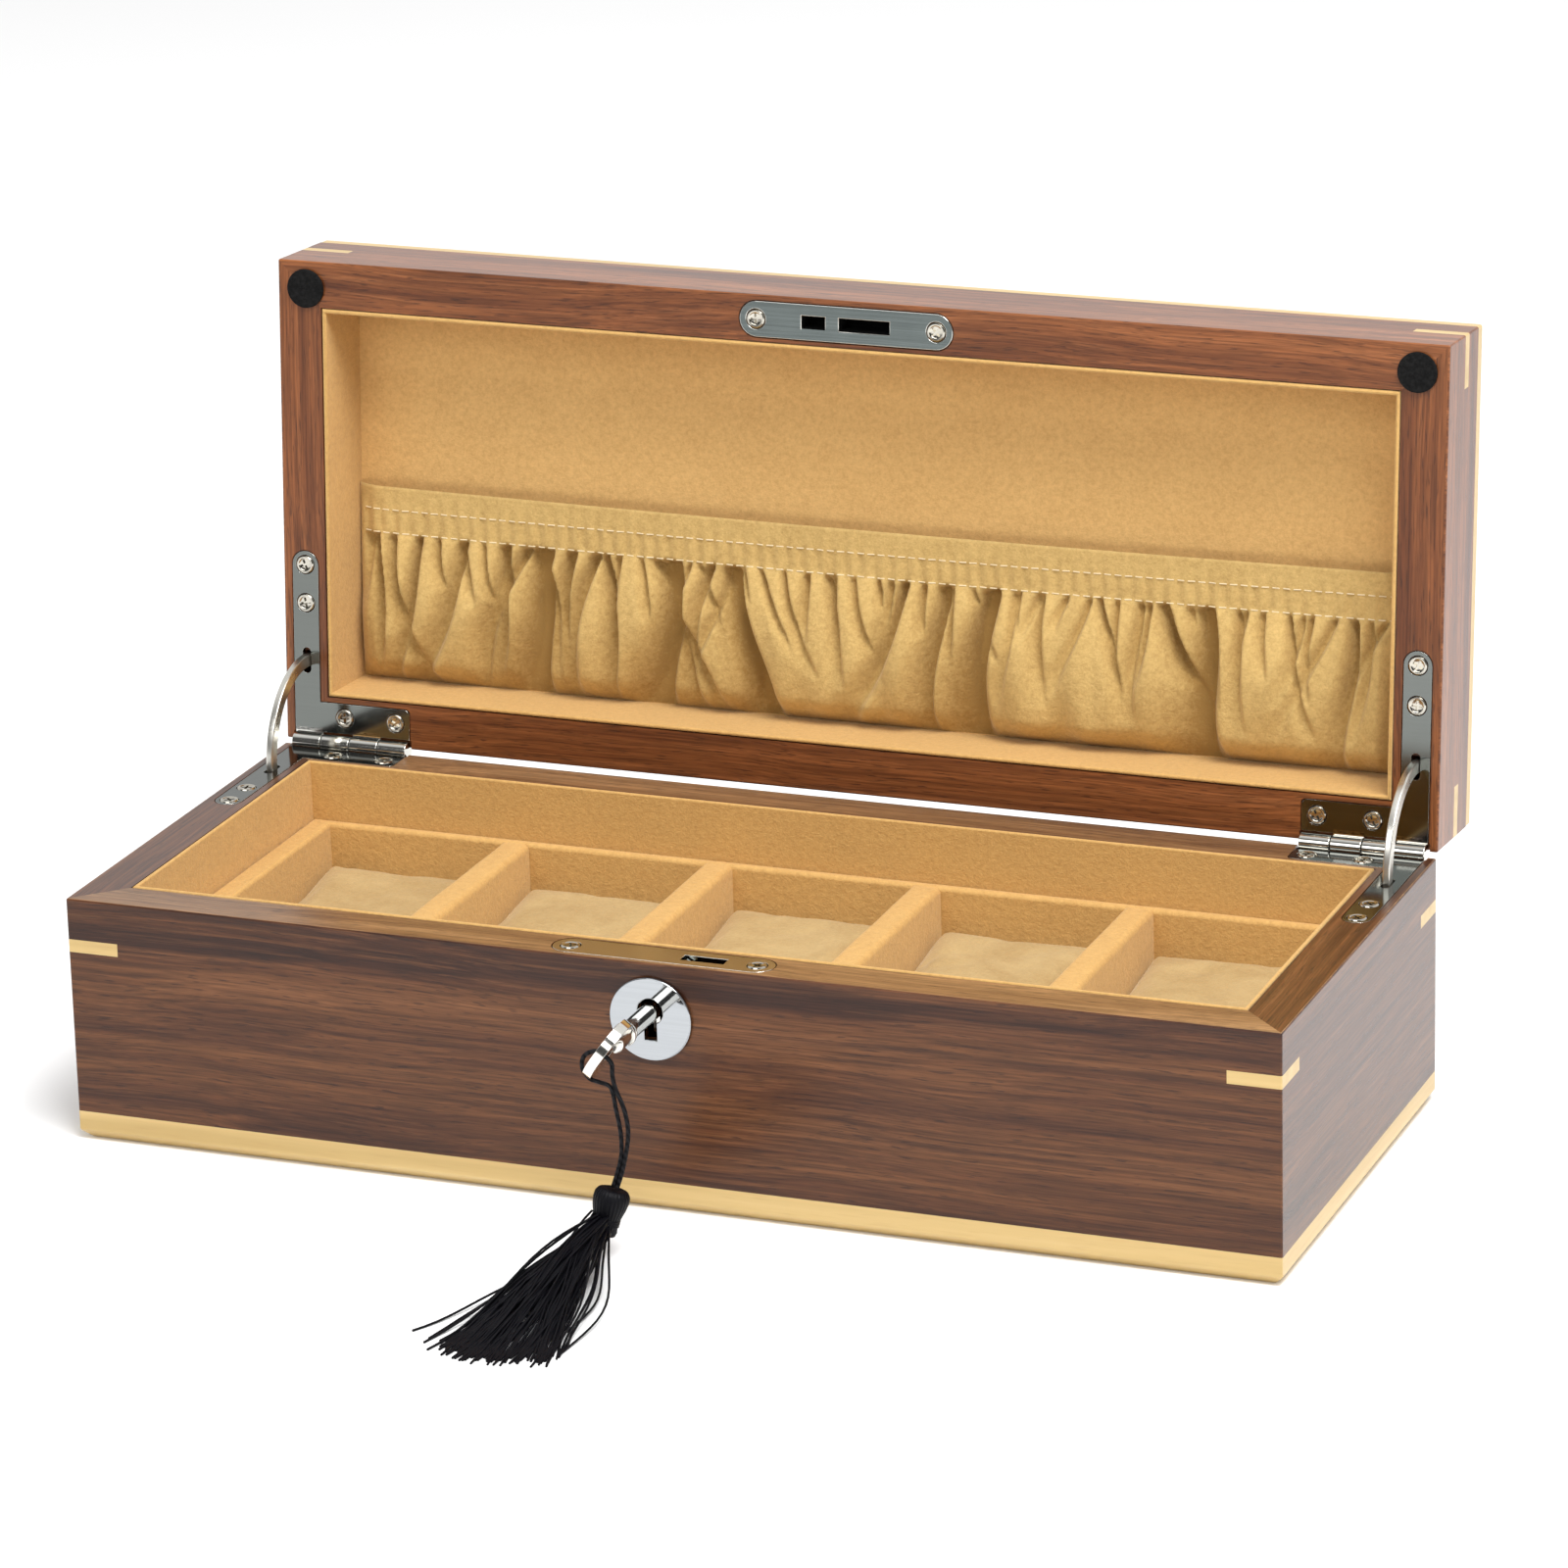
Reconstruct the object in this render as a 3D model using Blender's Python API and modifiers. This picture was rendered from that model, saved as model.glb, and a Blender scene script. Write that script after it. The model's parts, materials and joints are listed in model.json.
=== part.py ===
"""Walnut watch box with a hinged lid, five watch pillows, a lock and a key on a tassel.

Metres, +Z up, the front faces -Y. The origin is the centre of the underside.
Every lid piece is modelled in the closed position. The lid's parent empty on the
hinge axis then turns the whole lid open, as the box stands on display.
"""
import math

import bmesh
import bpy
from mathutils import Matrix, Vector

# ---------------------------------------------------------------- driving dimensions
WIDTH = 0.340
DEPTH = 0.1384
BASE_HEIGHT = 0.069
LID_HEIGHT = 0.0317
LID_OPEN = math.radians(94)
RIM_GAP = 0.0013           # air between the closed rims, held by the bumpers
FIT = 0.0003               # joint gap between touching pieces
OVERCUT = 0.001            # how far a cutting solid runs past the face it opens

WALL = 0.013               # walnut boards
LINING = 0.0012            # suede-covered lining boards
LINING_PROUD = 0.0003      # the lining stands this much past the rim
PLINTH_HEIGHT = 0.0082
PLINTH_WIDTH = 0.016
PLINTH_CHAMFER = 0.0028
EDGING_HEIGHT = 0.0043
EDGING_WIDTH = 0.006
EDGING_ROUND = 0.0007
LID_INNER_DEPTH = 0.0221
FELT_THICK = 0.001

SPLINE_LEG = 0.0146        # maple key across each mitred corner
SPLINE_THICK = 0.0036
BASE_SPLINE_DROP = 0.0133  # rim to the middle of the key
LID_SPLINE_RISE = 0.0168

TRAY_TOP = 0.0526
TRAY_END = 0.0066
TRAY_SIDE = 0.0032
DIVIDER = 0.0086
DIVIDER_ROUND = 0.0012
COMPARTMENTS = 5
PILLOW_TOP = 0.0440
PILLOW_LENGTH = 0.0976
PILLOW_ROUND = 0.0030
POCKET_STAND_OFF = 0.0030  # from the lid's lining panel
POCKET_THICK = 0.0017
POCKET_REACH = 0.0716      # back face to the pocket's mouth

HINGE_BACK = 0.00045       # hinge axis behind the back face
BARREL_R = 0.00265
PIN_R = 0.0010
BORE_R = 0.0011
BARREL_IN = 0.1318
BARREL_OUT = 0.1672
KNUCKLES = 4
KNUCKLE_WEB = 0.0040       # hinge axis to where the leaf takes over
LEAF = 0.0016              # leaf thickness
LEAF_NEAR = 0.0031         # hinge axis to the leaf's back edge
LEAF_CORNER = 0.0015
LEAF_INNER_X = 0.1318
LEAF_ARM_X = 0.1633        # middle of the arm on the side wall
LEAF_ARM_HALF = 0.0039
LEAF_REACH = 0.0555        # hinge axis to the arm's round end
LEAF_BACK_REACH = 0.0118
LEAF_SCREWS = ((0.1633, 0.0516), (0.1633, 0.0405), (0.1518, 0.0077), (0.1361, 0.0077))
SCREW_HOLE_R = 0.0016
STAY_INNER = 0.0220
STAY_OUTER = 0.0255
STAY_THICK = 0.0020
STAY_SWEEP = math.radians(55)
STAY_PLAY = 0.0008         # room round a stay in its mortise

PLATE_LENGTH = 0.062       # lock and strike plates
PLATE_WIDTH = 0.010
PLATE_THICK = 0.0015
PLATE_Y = -0.0624
PLATE_SCREW_X = 0.0262
PILOT_R = 0.0016
PILOT_LENGTH = 0.024
SCREW_PROFILE = (          # radius and height above the plate
    (0.0, 0.00040), (0.0014, 0.00032), (0.0026, 0.0),
    (0.0013, -0.0013), (0.0013, -0.0080), (0.0, -0.0095),
)
SINK_FOOT = -0.0019
SINK_FOOT_R = 0.0010
LOCK_SLOT = (0.0053, 0.0174)
STRIKE_SLOT = (-0.0020, 0.0127)
STRIKE_HOLE = (-0.0129, -0.0060)
SLOT_WIDTH = 0.0036
LOCK_HALF = 0.022
LOCK_DROP = 0.0300
LOCK_FRONT = -0.0667
LOCK_BACK = -0.0580
LOCK_SHELL = 0.0014
HOOK_X = 0.0170
HOOK_DROP = 0.0070
HOOK_INNER = 0.0108
HOOK_OUTER = 0.0125
HOOK_TIP = math.radians(149.5)
HOOK_TAIL = math.radians(191)
HOOK_ARM = math.radians(184)
HOOK_THICK = 0.0022
HOOK_HUB_R = 0.0031
HOOK_ARM_HEIGHT = 0.0030
HOOK_ROOM_HALF = 0.0021
HOOK_ROOM_DEEP = 0.0046
HOOK_ROOM_PAST = 0.0030
HOLE_ROOM_DEEP = 0.0030

KEY_X = -0.0010
KEY_Z = 0.0560
SHAFT_R = 0.0026
SHAFT_BORE_R = 0.0016
DRILL_PIN_R = 0.0013
KEYHOLE_R = 0.0035
KEYHOLE_SLOT = 0.0034
KEYHOLE_DROP = 0.0078
KEYHOLE_PLAY = 0.0004      # the board's keyhole is this much larger all round
BIT_ROOT = 0.0019          # key axis to the bit's inner end
BIT_REACH = 0.0072
BIT_THICK = 0.0020
BIT_START = 0.0008         # behind the lock case's open face
BIT_END = 0.0052
COLLAR_R = 0.0032
COLLAR_LENGTH = 0.0022
COLLAR_Y = 0.0112          # behind the middle of the bow
SHAFT_IN_BOW = 0.0040
BOW_Y = -0.0987
BOW_HOLE = (0.0, -0.0028)
BOW_HOLE_R = 0.0018
BOW_HALF = (0.0085, 0.0090)
BOW_THICK = 0.0026
BOW_TURN = math.radians(35)
ESCUTCHEON_R = 0.0114
ESCUTCHEON_Z = 0.0539
ESCUTCHEON_THICK = 0.0010

BUMPER_R = 0.0055
BUMPER_THICK = 0.0009
BUMPER_X = 0.1614
BUMPER_Y = -0.0615

CORD_R = 0.0011
CORD_ROUTE = (
    (0.0008, -0.1004, 0.0462),
    (0.0026, -0.1005, 0.0405),
    (0.0036, -0.1006, 0.0345),
    (0.0032, -0.1006, 0.0285),
    (0.0018, -0.1004, 0.0230),
    (0.0004, -0.1003, 0.0189),
)
KNOT_TOP = Vector((0.0000, -0.1003, 0.0183))
KNOT_FOOT = Vector((-0.0028, -0.1034, 0.0018))
KNOT_R = 0.0047
KNOT_PROFILE = (           # shares of the radius and of the height
    (0.0, 1.0), (0.62, 0.96), (0.98, 0.80), (1.0, 0.62), (0.82, 0.42), (0.70, 0.30),
    (0.78, 0.14), (0.62, 0.0), (0.0, 0.0),
)
SKIRT_NEAR = -0.1090
SKIRT_FAR = -0.1745
SKIRT_HIGH = 0.0078
SKIRT_LOW = 0.0030
SKIRT_SLOPE = 1.6          # the skirt is down to its low end after 1 / 1.6 of its length
SKIRT_FOOT = 0.0001
SKIRT_OUTLINE = (
    (-0.0062, SKIRT_NEAR), (-0.0300, -0.1590), (-0.0262, -0.1675), (-0.0150, -0.1730),
    (-0.0030, SKIRT_FAR), (0.0072, -0.1700), (0.0085, -0.1600), (0.0012, SKIRT_NEAR),
)

# ---------------------------------------------------------------- worked-out levels
RIM = BASE_HEIGHT
LID_RIM = RIM + RIM_GAP
LID_TOP = LID_RIM + LID_HEIGHT
HINGE = Vector((0, DEPTH / 2 + HINGE_BACK, RIM + RIM_GAP / 2))
WALL_FOOT = PLINTH_HEIGHT + FIT
INNER_X = WIDTH / 2 - WALL - FIT - LINING
INNER_Y = DEPTH / 2 - WALL - FIT - LINING
FLOOR_TOP = WALL_FOOT + LINING
TRAY_X = INNER_X - FIT
TRAY_Y = INNER_Y - FIT
CELL_Y = TRAY_Y - TRAY_SIDE
CELL_X = (2 * (TRAY_X - TRAY_END) - (COMPARTMENTS - 1) * DIVIDER) / COMPARTMENTS
PITCH = CELL_X + DIVIDER

# Turns that stand a flat piece up: its x forwards and y upwards, or its y upwards.
SIDE_ON = Matrix(((0, 0, -1, 0), (-1, 0, 0, 0), (0, 1, 0, 0), (0, 0, 0, 1)))
FRONT_ON = Matrix.Rotation(math.radians(90), 4, "X")
ALONG_X = Matrix.Rotation(math.radians(90), 4, "Y")


# ---------------------------------------------------------------- scene helpers
def clear_scene():
    for item in list(bpy.data.objects):
        bpy.data.objects.remove(item)


def new_collection(name):
    collection = bpy.data.collections.new(name)
    bpy.context.scene.collection.children.link(collection)
    return collection


def new_material(name, colour, roughness, metallic=0.0):
    material = bpy.data.materials.new(name)
    material.use_nodes = True
    shader = material.node_tree.nodes["Principled BSDF"]
    shader.inputs["Base Color"].default_value = (*colour, 1)
    shader.inputs["Roughness"].default_value = roughness
    shader.inputs["Metallic"].default_value = metallic
    return material


def new_axis(name, place):
    """An empty on a joint's axis. Its pieces hang from it."""
    axis = bpy.data.objects.new(name, None)
    axis.location = place
    PIECES.objects.link(axis)
    return axis


def attach(item, place, axis):
    """Puts an object at a place given in the closed box's frame, hung from its axis."""
    item.location = Vector(place) - (axis.location if axis else Vector())
    item.parent = axis


def add_piece(name, mesh, place, material, axis=None):
    piece = bpy.data.objects.new(name, mesh)
    mesh.materials.append(material)
    attach(piece, place, axis)
    PIECES.objects.link(piece)
    return piece


def add_tool(mesh, place, axis=None):
    """A guide solid that a Boolean takes away from a piece or joins to it."""
    tool = bpy.data.objects.new("tool", mesh)
    attach(tool, place, axis)
    tool.hide_render = True
    tool.display_type = "WIRE"
    TOOLS.objects.link(tool)
    return tool


def combine(piece, tool, operation):
    modifier = piece.modifiers.new(operation.lower(), "BOOLEAN")
    modifier.operation = operation
    modifier.solver = "EXACT"
    modifier.object = tool


def cut(piece, *tools):
    for tool in tools:
        combine(piece, tool, "DIFFERENCE")


def join(piece, *tools):
    for tool in tools:
        combine(piece, tool, "UNION")


# ---------------------------------------------------------------- shape helpers
def block_mesh(size):
    mesh = bpy.data.meshes.new("block")
    shape = bmesh.new()
    bmesh.ops.create_cube(shape, size=1, matrix=Matrix.Diagonal((*size, 1)))
    shape.to_mesh(mesh)
    shape.free()
    return mesh


def rod_mesh(radius, length, turn=Matrix.Identity(4), sides=16, end_radius=None):
    mesh = bpy.data.meshes.new("rod")
    shape = bmesh.new()
    far_radius = radius if end_radius is None else end_radius
    bmesh.ops.create_cone(
        shape, cap_ends=True, segments=sides, radius1=radius, radius2=far_radius,
        depth=length, matrix=turn,
    )
    shape.to_mesh(mesh)
    shape.free()
    mesh.shade_smooth()
    mesh.set_sharp_from_angle(angle=math.radians(30))
    return mesh


def flat_mesh(outlines, thickness, turn=None):
    """A flat piece: the first outline filled, the others left as holes in it."""
    curve = bpy.data.curves.new("flat", "CURVE")
    curve.dimensions = "2D"
    curve.fill_mode = "BOTH"
    curve.extrude = thickness / 2
    for points in outlines:
        spline = curve.splines.new("POLY")
        spline.points.add(len(points) - 1)
        for point, (x, y) in zip(spline.points, points):
            point.co = (x, y, 0, 1)
        spline.use_cyclic_u = True
    guide = bpy.data.objects.new("flat", curve)
    bpy.context.scene.collection.objects.link(guide)
    depsgraph = bpy.context.evaluated_depsgraph_get()
    mesh = bpy.data.meshes.new_from_object(guide.evaluated_get(depsgraph))
    bpy.data.objects.remove(guide)
    weld(mesh)
    if turn:
        mesh.transform(turn)
    return mesh


def weld(mesh):
    shape = bmesh.new()
    shape.from_mesh(mesh)
    bmesh.ops.remove_doubles(shape, verts=shape.verts, dist=0.000005)
    bmesh.ops.dissolve_limit(
        shape, angle_limit=math.radians(1), verts=shape.verts, edges=shape.edges
    )
    bmesh.ops.recalc_face_normals(shape, faces=shape.faces)
    shape.to_mesh(mesh)
    shape.free()


def bevel_edges(mesh, width, segments, chosen):
    """Bevels the edges whose two ends both pass a test."""
    shape = bmesh.new()
    shape.from_mesh(mesh)
    edges = [e for e in shape.edges if all(chosen(v.co) for v in e.verts)]
    bmesh.ops.bevel(
        shape, geom=edges, offset=width, segments=segments, profile=0.5, affect="EDGES"
    )
    shape.to_mesh(mesh)
    shape.free()


def arc(centre, radius, start, end, steps):
    return [
        (centre[0] + radius * math.cos(a), centre[1] + radius * math.sin(a))
        for a in (start + (end - start) * i / steps for i in range(steps + 1))
    ]


def circle(centre, radius, sides=16):
    return arc(centre, radius, 0, math.tau * (sides - 1) / sides, sides - 1)


def rectangle(width, depth):
    x, y = width / 2, depth / 2
    return [(-x, -y), (x, -y), (x, y), (-x, y)]


def stadium(x_low, x_high, width, steps=8):
    """A slot's outline along x, with round ends."""
    r = width / 2
    right = arc((x_high - r, 0), r, -math.pi / 2, math.pi / 2, steps)
    left = arc((x_low + r, 0), r, math.pi / 2, math.pi * 1.5, steps)
    return right + left


def add_box(name, low, high, material, axis=None):
    low, high = Vector(low), Vector(high)
    return add_piece(name, block_mesh(high - low), (low + high) / 2, material, axis)


def box_tool(low, high, axis=None):
    low, high = Vector(low), Vector(high)
    return add_tool(block_mesh(high - low), (low + high) / 2, axis)


def add_ring(name, outer, inner, low, high, material, axis=None):
    """A rectangular frame between two heights, given by its outer and inner sizes."""
    mesh = flat_mesh([rectangle(*outer), rectangle(*inner)], high - low)
    return add_piece(name, mesh, (0, 0, (low + high) / 2), material, axis)


# ---------------------------------------------------------------- walls and splines
def add_walls(prefix, low, high, axis):
    """Four mitred walnut boards, named front, right, back and left."""
    mitre = FIT / 2 * math.sqrt(2)
    walls = {}
    sides = (
        ("front", WIDTH, (0, -DEPTH / 2), 0),
        ("right", DEPTH, (WIDTH / 2, 0), 90),
        ("back", WIDTH, (0, DEPTH / 2), 180),
        ("left", DEPTH, (-WIDTH / 2, 0), -90),
    )
    for side, length, place, turn in sides:
        half = length / 2 - mitre
        outline = [(-half, 0), (half, 0), (half - WALL, WALL), (WALL - half, WALL)]
        mesh = flat_mesh([outline], high - low)
        wall = add_piece(
            f"{prefix}_wall_{side}", mesh, (*place, (low + high) / 2), WALNUT, axis
        )
        wall.rotation_euler.z = math.radians(turn)
        walls[side] = wall
    return walls


def add_splines(prefix, walls, height, axis):
    """A triangular maple key in a slot across each corner."""
    reach = SPLINE_LEG + FIT * math.sqrt(2)
    corners = (
        ("front_left", -1, -1), ("front_right", 1, -1),
        ("back_left", -1, 1), ("back_right", 1, 1),
    )
    for corner, sx, sy in corners:
        key = [(0, 0), (-sx * SPLINE_LEG, 0), (0, -sy * SPLINE_LEG)]
        past = reach + OVERCUT
        slot = [
            (sx * OVERCUT, sy * OVERCUT), (-sx * past, sy * OVERCUT), (sx * OVERCUT, -sy * past)
        ]
        place = (sx * WIDTH / 2, sy * DEPTH / 2, height)
        add_piece(
            f"{prefix}_spline_{corner}", flat_mesh([key], SPLINE_THICK), place, MAPLE, axis
        )
        tool = add_tool(flat_mesh([slot], SPLINE_THICK + FIT), place, axis)
        for side in corner.split("_"):
            cut(walls[side], tool)


# ---------------------------------------------------------------- hinges
def leaf_outline(grow=0.0, near=LEAF_NEAR):
    """The L-shaped leaf of the right hinge: x, and the distance forward from the axis."""
    half = LEAF_ARM_HALF + grow
    tip = LEAF_REACH - LEAF_ARM_HALF
    inner = LEAF_INNER_X - grow
    reach = LEAF_BACK_REACH + grow
    points = [(inner, near), (LEAF_ARM_X + half, near)]
    points += arc((LEAF_ARM_X, tip), half, 0, math.pi, 10)
    points += [(LEAF_ARM_X - half, reach)]
    corner = (inner + LEAF_CORNER, reach - LEAF_CORNER)
    return points + arc(corner, LEAF_CORNER, math.pi / 2, math.pi, 3)


def in_box_frame(points, side):
    """Turns distances forward from the hinge axis into y, on the left or right side."""
    return [(side * x, HINGE.y - s) for x, s in points]


def knuckle_mesh(length, up):
    """A barrel knuckle with its bore and the web that runs into the leaf."""
    top = -RIM_GAP / 2
    foot = top - LEAF
    start = math.asin(top / BARREL_R)
    end = math.asin(foot / BARREL_R) + math.tau
    outer = arc((0, 0), BARREL_R, start, end, 20)
    outer += [(KNUCKLE_WEB, foot), (KNUCKLE_WEB, top)]
    bore = circle((0, 0), BORE_R)
    outlines = [[(x, up * y) for x, y in points] for points in (outer, bore)]
    return flat_mesh(outlines, length, SIDE_ON)


def add_leaf(name, side, up, parity, axis):
    """One leaf: up is 1 on the base and -1 on the lid, parity picks its knuckles."""
    slot_half = (STAY_OUTER - STAY_INNER) / 2 + 2 * OVERCUT
    middle_s = (STAY_OUTER + STAY_INNER) / 2
    slot = [
        (LEAF_ARM_X + across, middle_s + along)
        for along, across in stadium(-slot_half, slot_half, STAY_THICK + 2 * FIT)
    ]
    holes = [circle(place, SCREW_HOLE_R, 12) for place in LEAF_SCREWS]
    outlines = [in_box_frame(points, side) for points in (leaf_outline(), slot, *holes)]
    middle = RIM - LEAF / 2 if up > 0 else LID_RIM + LEAF / 2
    leaf = add_piece(name, flat_mesh(outlines, LEAF), (0, 0, middle), NICKEL, axis)
    length = (BARREL_OUT - BARREL_IN) / KNUCKLES
    for index in range(parity, KNUCKLES, 2):
        x = BARREL_OUT - (index + 0.5) * length
        tool = add_tool(knuckle_mesh(length - FIT, up), (side * x, HINGE.y, HINGE.z), axis)
        join(leaf, tool)


def seat_hinge(walls, side, up, axis):
    """Cuts the leaf's recess, the barrel's notch and the stay's mortise in the boards."""
    deep = LEAF + FIT + OVERCUT
    level = RIM - LEAF - FIT + deep / 2 if up > 0 else LID_RIM + LEAF + FIT - deep / 2
    outline = in_box_frame(leaf_outline(FIT, -2 * OVERCUT), side)
    recess = add_tool(flat_mesh([outline], deep), (0, 0, level), axis)
    middle = side * (BARREL_IN + BARREL_OUT) / 2
    notch_length = BARREL_OUT - BARREL_IN + 4 * FIT
    notch = add_tool(
        rod_mesh(BARREL_R + FIT, notch_length, ALONG_X, 24), (middle, HINGE.y, HINGE.z), axis
    )
    depth = STAY_OUTER * math.sin(STAY_SWEEP) + 2 * STAY_PLAY
    low_s = STAY_INNER * math.cos(STAY_SWEEP) - STAY_PLAY
    high_s = STAY_OUTER + STAY_PLAY
    x_half = STAY_THICK / 2 + FIT
    z_range = (RIM - depth, RIM) if up > 0 else (LID_RIM, LID_RIM + depth)
    mortise = box_tool(
        (side * LEAF_ARM_X - x_half, HINGE.y - high_s, z_range[0]),
        (side * LEAF_ARM_X + x_half, HINGE.y - low_s, z_range[1]),
        axis,
    )
    flank = walls["right" if side > 0 else "left"]
    cut(flank, recess, notch, mortise)
    cut(walls["back"], recess, notch)


def add_hinges(base_walls, lid_walls):
    for side, name in ((-1, "left"), (1, "right")):
        add_leaf(f"hinge_base_leaf_{name}", side, 1, 1, None)
        add_leaf(f"hinge_lid_leaf_{name}", side, -1, 0, LID_AXIS)
        seat_hinge(base_walls, side, 1, None)
        seat_hinge(lid_walls, side, -1, LID_AXIS)
        length = BARREL_OUT - BARREL_IN - 2 * FIT
        middle = side * (BARREL_IN + BARREL_OUT) / 2
        add_piece(
            f"hinge_pin_{name}", rod_mesh(PIN_R, length, ALONG_X), (middle, *HINGE.yz), NICKEL
        )
        band = arc((0, 0), STAY_OUTER, -STAY_SWEEP, STAY_SWEEP, 22)
        band += arc((0, 0), STAY_INNER, STAY_SWEEP, -STAY_SWEEP, 22)
        add_piece(
            f"lid_stay_{name}", flat_mesh([band], STAY_THICK, SIDE_ON),
            (side * LEAF_ARM_X, *HINGE.yz), NICKEL, STAY_AXIS,
        )


# ---------------------------------------------------------------- base
def add_base_case():
    walls = add_walls("base", WALL_FOOT, RIM, None)
    add_splines("base", walls, RIM - BASE_SPLINE_DROP, None)
    inner = (WIDTH - 2 * PLINTH_WIDTH, DEPTH - 2 * PLINTH_WIDTH)
    mesh = flat_mesh([rectangle(WIDTH, DEPTH), rectangle(*inner)], PLINTH_HEIGHT)

    def bottom_rim(place):
        return place.z < 0 and (
            abs(place.x) > WIDTH / 2 - FIT or abs(place.y) > DEPTH / 2 - FIT
        )

    bevel_edges(mesh, PLINTH_CHAMFER, 1, bottom_rim)
    add_piece("plinth", mesh, (0, 0, PLINTH_HEIGHT / 2), MAPLE)
    x, y = inner[0] / 2 - FIT, inner[1] / 2 - FIT
    add_box("felt_underside", (-x, -y, 0), (x, y, FELT_THICK), FELT)
    add_box("floor_panel", (-x, -y, FELT_THICK + FIT), (x, y, PLINTH_HEIGHT), BOARD)
    return walls


def add_base_lining():
    outer = (2 * (INNER_X + LINING), 2 * (INNER_Y + LINING))
    inner = (2 * INNER_X, 2 * INNER_Y)
    add_ring("base_lining", outer, inner, WALL_FOOT, RIM + LINING_PROUD, SUEDE)
    add_box("tray_floor", (-TRAY_X, -TRAY_Y, WALL_FOOT), (TRAY_X, TRAY_Y, FLOOR_TOP), SUEDE)
    outer = (2 * TRAY_X, 2 * TRAY_Y)
    inner = (2 * (TRAY_X - TRAY_END), 2 * CELL_Y)
    add_ring("tray_frame", outer, inner, FLOOR_TOP + FIT, TRAY_TOP, SUEDE)
    half = DIVIDER / 2
    middle = (FLOOR_TOP + FIT + TRAY_TOP) / 2

    def top_edge(place):
        return place.z > 0 and abs(place.x) > half - FIT

    for index in range(COMPARTMENTS - 1):
        x = (index - (COMPARTMENTS - 2) / 2) * PITCH
        mesh = block_mesh((DIVIDER, 2 * (CELL_Y - FIT), TRAY_TOP - FLOOR_TOP - FIT))
        bevel_edges(mesh, DIVIDER_ROUND, 2, top_edge)
        add_piece(f"divider_{index + 1}", mesh, (x, 0, middle), SUEDE)


def add_pillows():
    """One pillow in each compartment, each with its origin at its own middle."""
    low = FLOOR_TOP + FIT
    size = (CELL_X - 2 * FIT, PILLOW_LENGTH, PILLOW_TOP - low)
    for index in range(COMPARTMENTS):
        x = (index - (COMPARTMENTS - 1) / 2) * PITCH
        mesh = block_mesh(size)
        bevel_edges(mesh, PILLOW_ROUND, 2, lambda place: True)
        add_piece(f"pillow_{index + 1}", mesh, (x, 0, (low + PILLOW_TOP) / 2), PILLOW)


# ---------------------------------------------------------------- lid
def add_lid_case():
    wall_top = LID_TOP - EDGING_HEIGHT - FIT
    walls = add_walls("lid", LID_RIM, wall_top, LID_AXIS)
    add_splines("lid", walls, LID_RIM + LID_SPLINE_RISE, LID_AXIS)
    inner = (WIDTH - 2 * EDGING_WIDTH, DEPTH - 2 * EDGING_WIDTH)
    mesh = flat_mesh([rectangle(WIDTH, DEPTH), rectangle(*inner)], EDGING_HEIGHT)

    def top_outer_edge(place):
        return place.z > 0 and (
            abs(place.x) > WIDTH / 2 - FIT or abs(place.y) > DEPTH / 2 - FIT
        )

    bevel_edges(mesh, EDGING_ROUND, 2, top_outer_edge)
    add_piece("lid_edging", mesh, (0, 0, LID_TOP - EDGING_HEIGHT / 2), MAPLE, LID_AXIS)
    x, y = inner[0] / 2 - FIT, inner[1] / 2 - FIT
    low = LID_TOP - EDGING_HEIGHT
    add_box("lid_top_panel", (-x, -y, low), (x, y, LID_TOP), WALNUT, LID_AXIS)
    return walls


def add_lid_lining():
    outer = (2 * (INNER_X + LINING), 2 * (INNER_Y + LINING))
    inner = (2 * INNER_X, 2 * INNER_Y)
    ceiling = LID_RIM + LID_INNER_DEPTH
    add_ring("lid_lining", outer, inner, LID_RIM - LINING_PROUD, ceiling - FIT, SUEDE, LID_AXIS)
    x, y = INNER_X + LINING, INNER_Y + LINING
    top = LID_TOP - EDGING_HEIGHT - FIT
    add_box("lid_lining_panel", (-x, -y, ceiling), (x, y, top), SUEDE, LID_AXIS)


def add_pocket():
    """The gathered pocket on the back half of the lid's inside, its mouth to the front."""
    top = LID_RIM + LID_INNER_DEPTH - POCKET_STAND_OFF
    x = INNER_X - FIT
    low = (-x, DEPTH / 2 - POCKET_REACH, top - POCKET_THICK)
    add_box("lid_pocket", low, (x, INNER_Y - FIT, top), POCKET, LID_AXIS)


def add_bumpers():
    for side, name in ((-1, "left"), (1, "right")):
        z = LID_RIM - FIT / 2 - BUMPER_THICK / 2
        add_piece(
            f"bumper_{name}", rod_mesh(BUMPER_R, BUMPER_THICK, sides=24),
            (side * BUMPER_X, BUMPER_Y, z), RUBBER, LID_AXIS,
        )


# ---------------------------------------------------------------- lock
def screw_mesh(up):
    """A countersunk screw turned about its axis, its head a little domed."""
    mesh = bpy.data.meshes.new("screw")
    edges = [(i, i + 1) for i in range(len(SCREW_PROFILE) - 1)]
    mesh.from_pydata([(x, 0, z) for x, z in SCREW_PROFILE], edges, [])
    guide = bpy.data.objects.new("screw", mesh)
    bpy.context.scene.collection.objects.link(guide)
    turning = guide.modifiers.new("turn", "SCREW")
    turning.steps = 14
    turning.render_steps = 14
    turning.use_merge_vertices = True
    turning.merge_threshold = 0.00001
    depsgraph = bpy.context.evaluated_depsgraph_get()
    turned = bpy.data.meshes.new_from_object(guide.evaluated_get(depsgraph))
    bpy.data.objects.remove(guide)
    weld(turned)
    if up < 0:
        turned.transform(Matrix.Rotation(math.pi, 4, "X"))
    return turned


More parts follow.
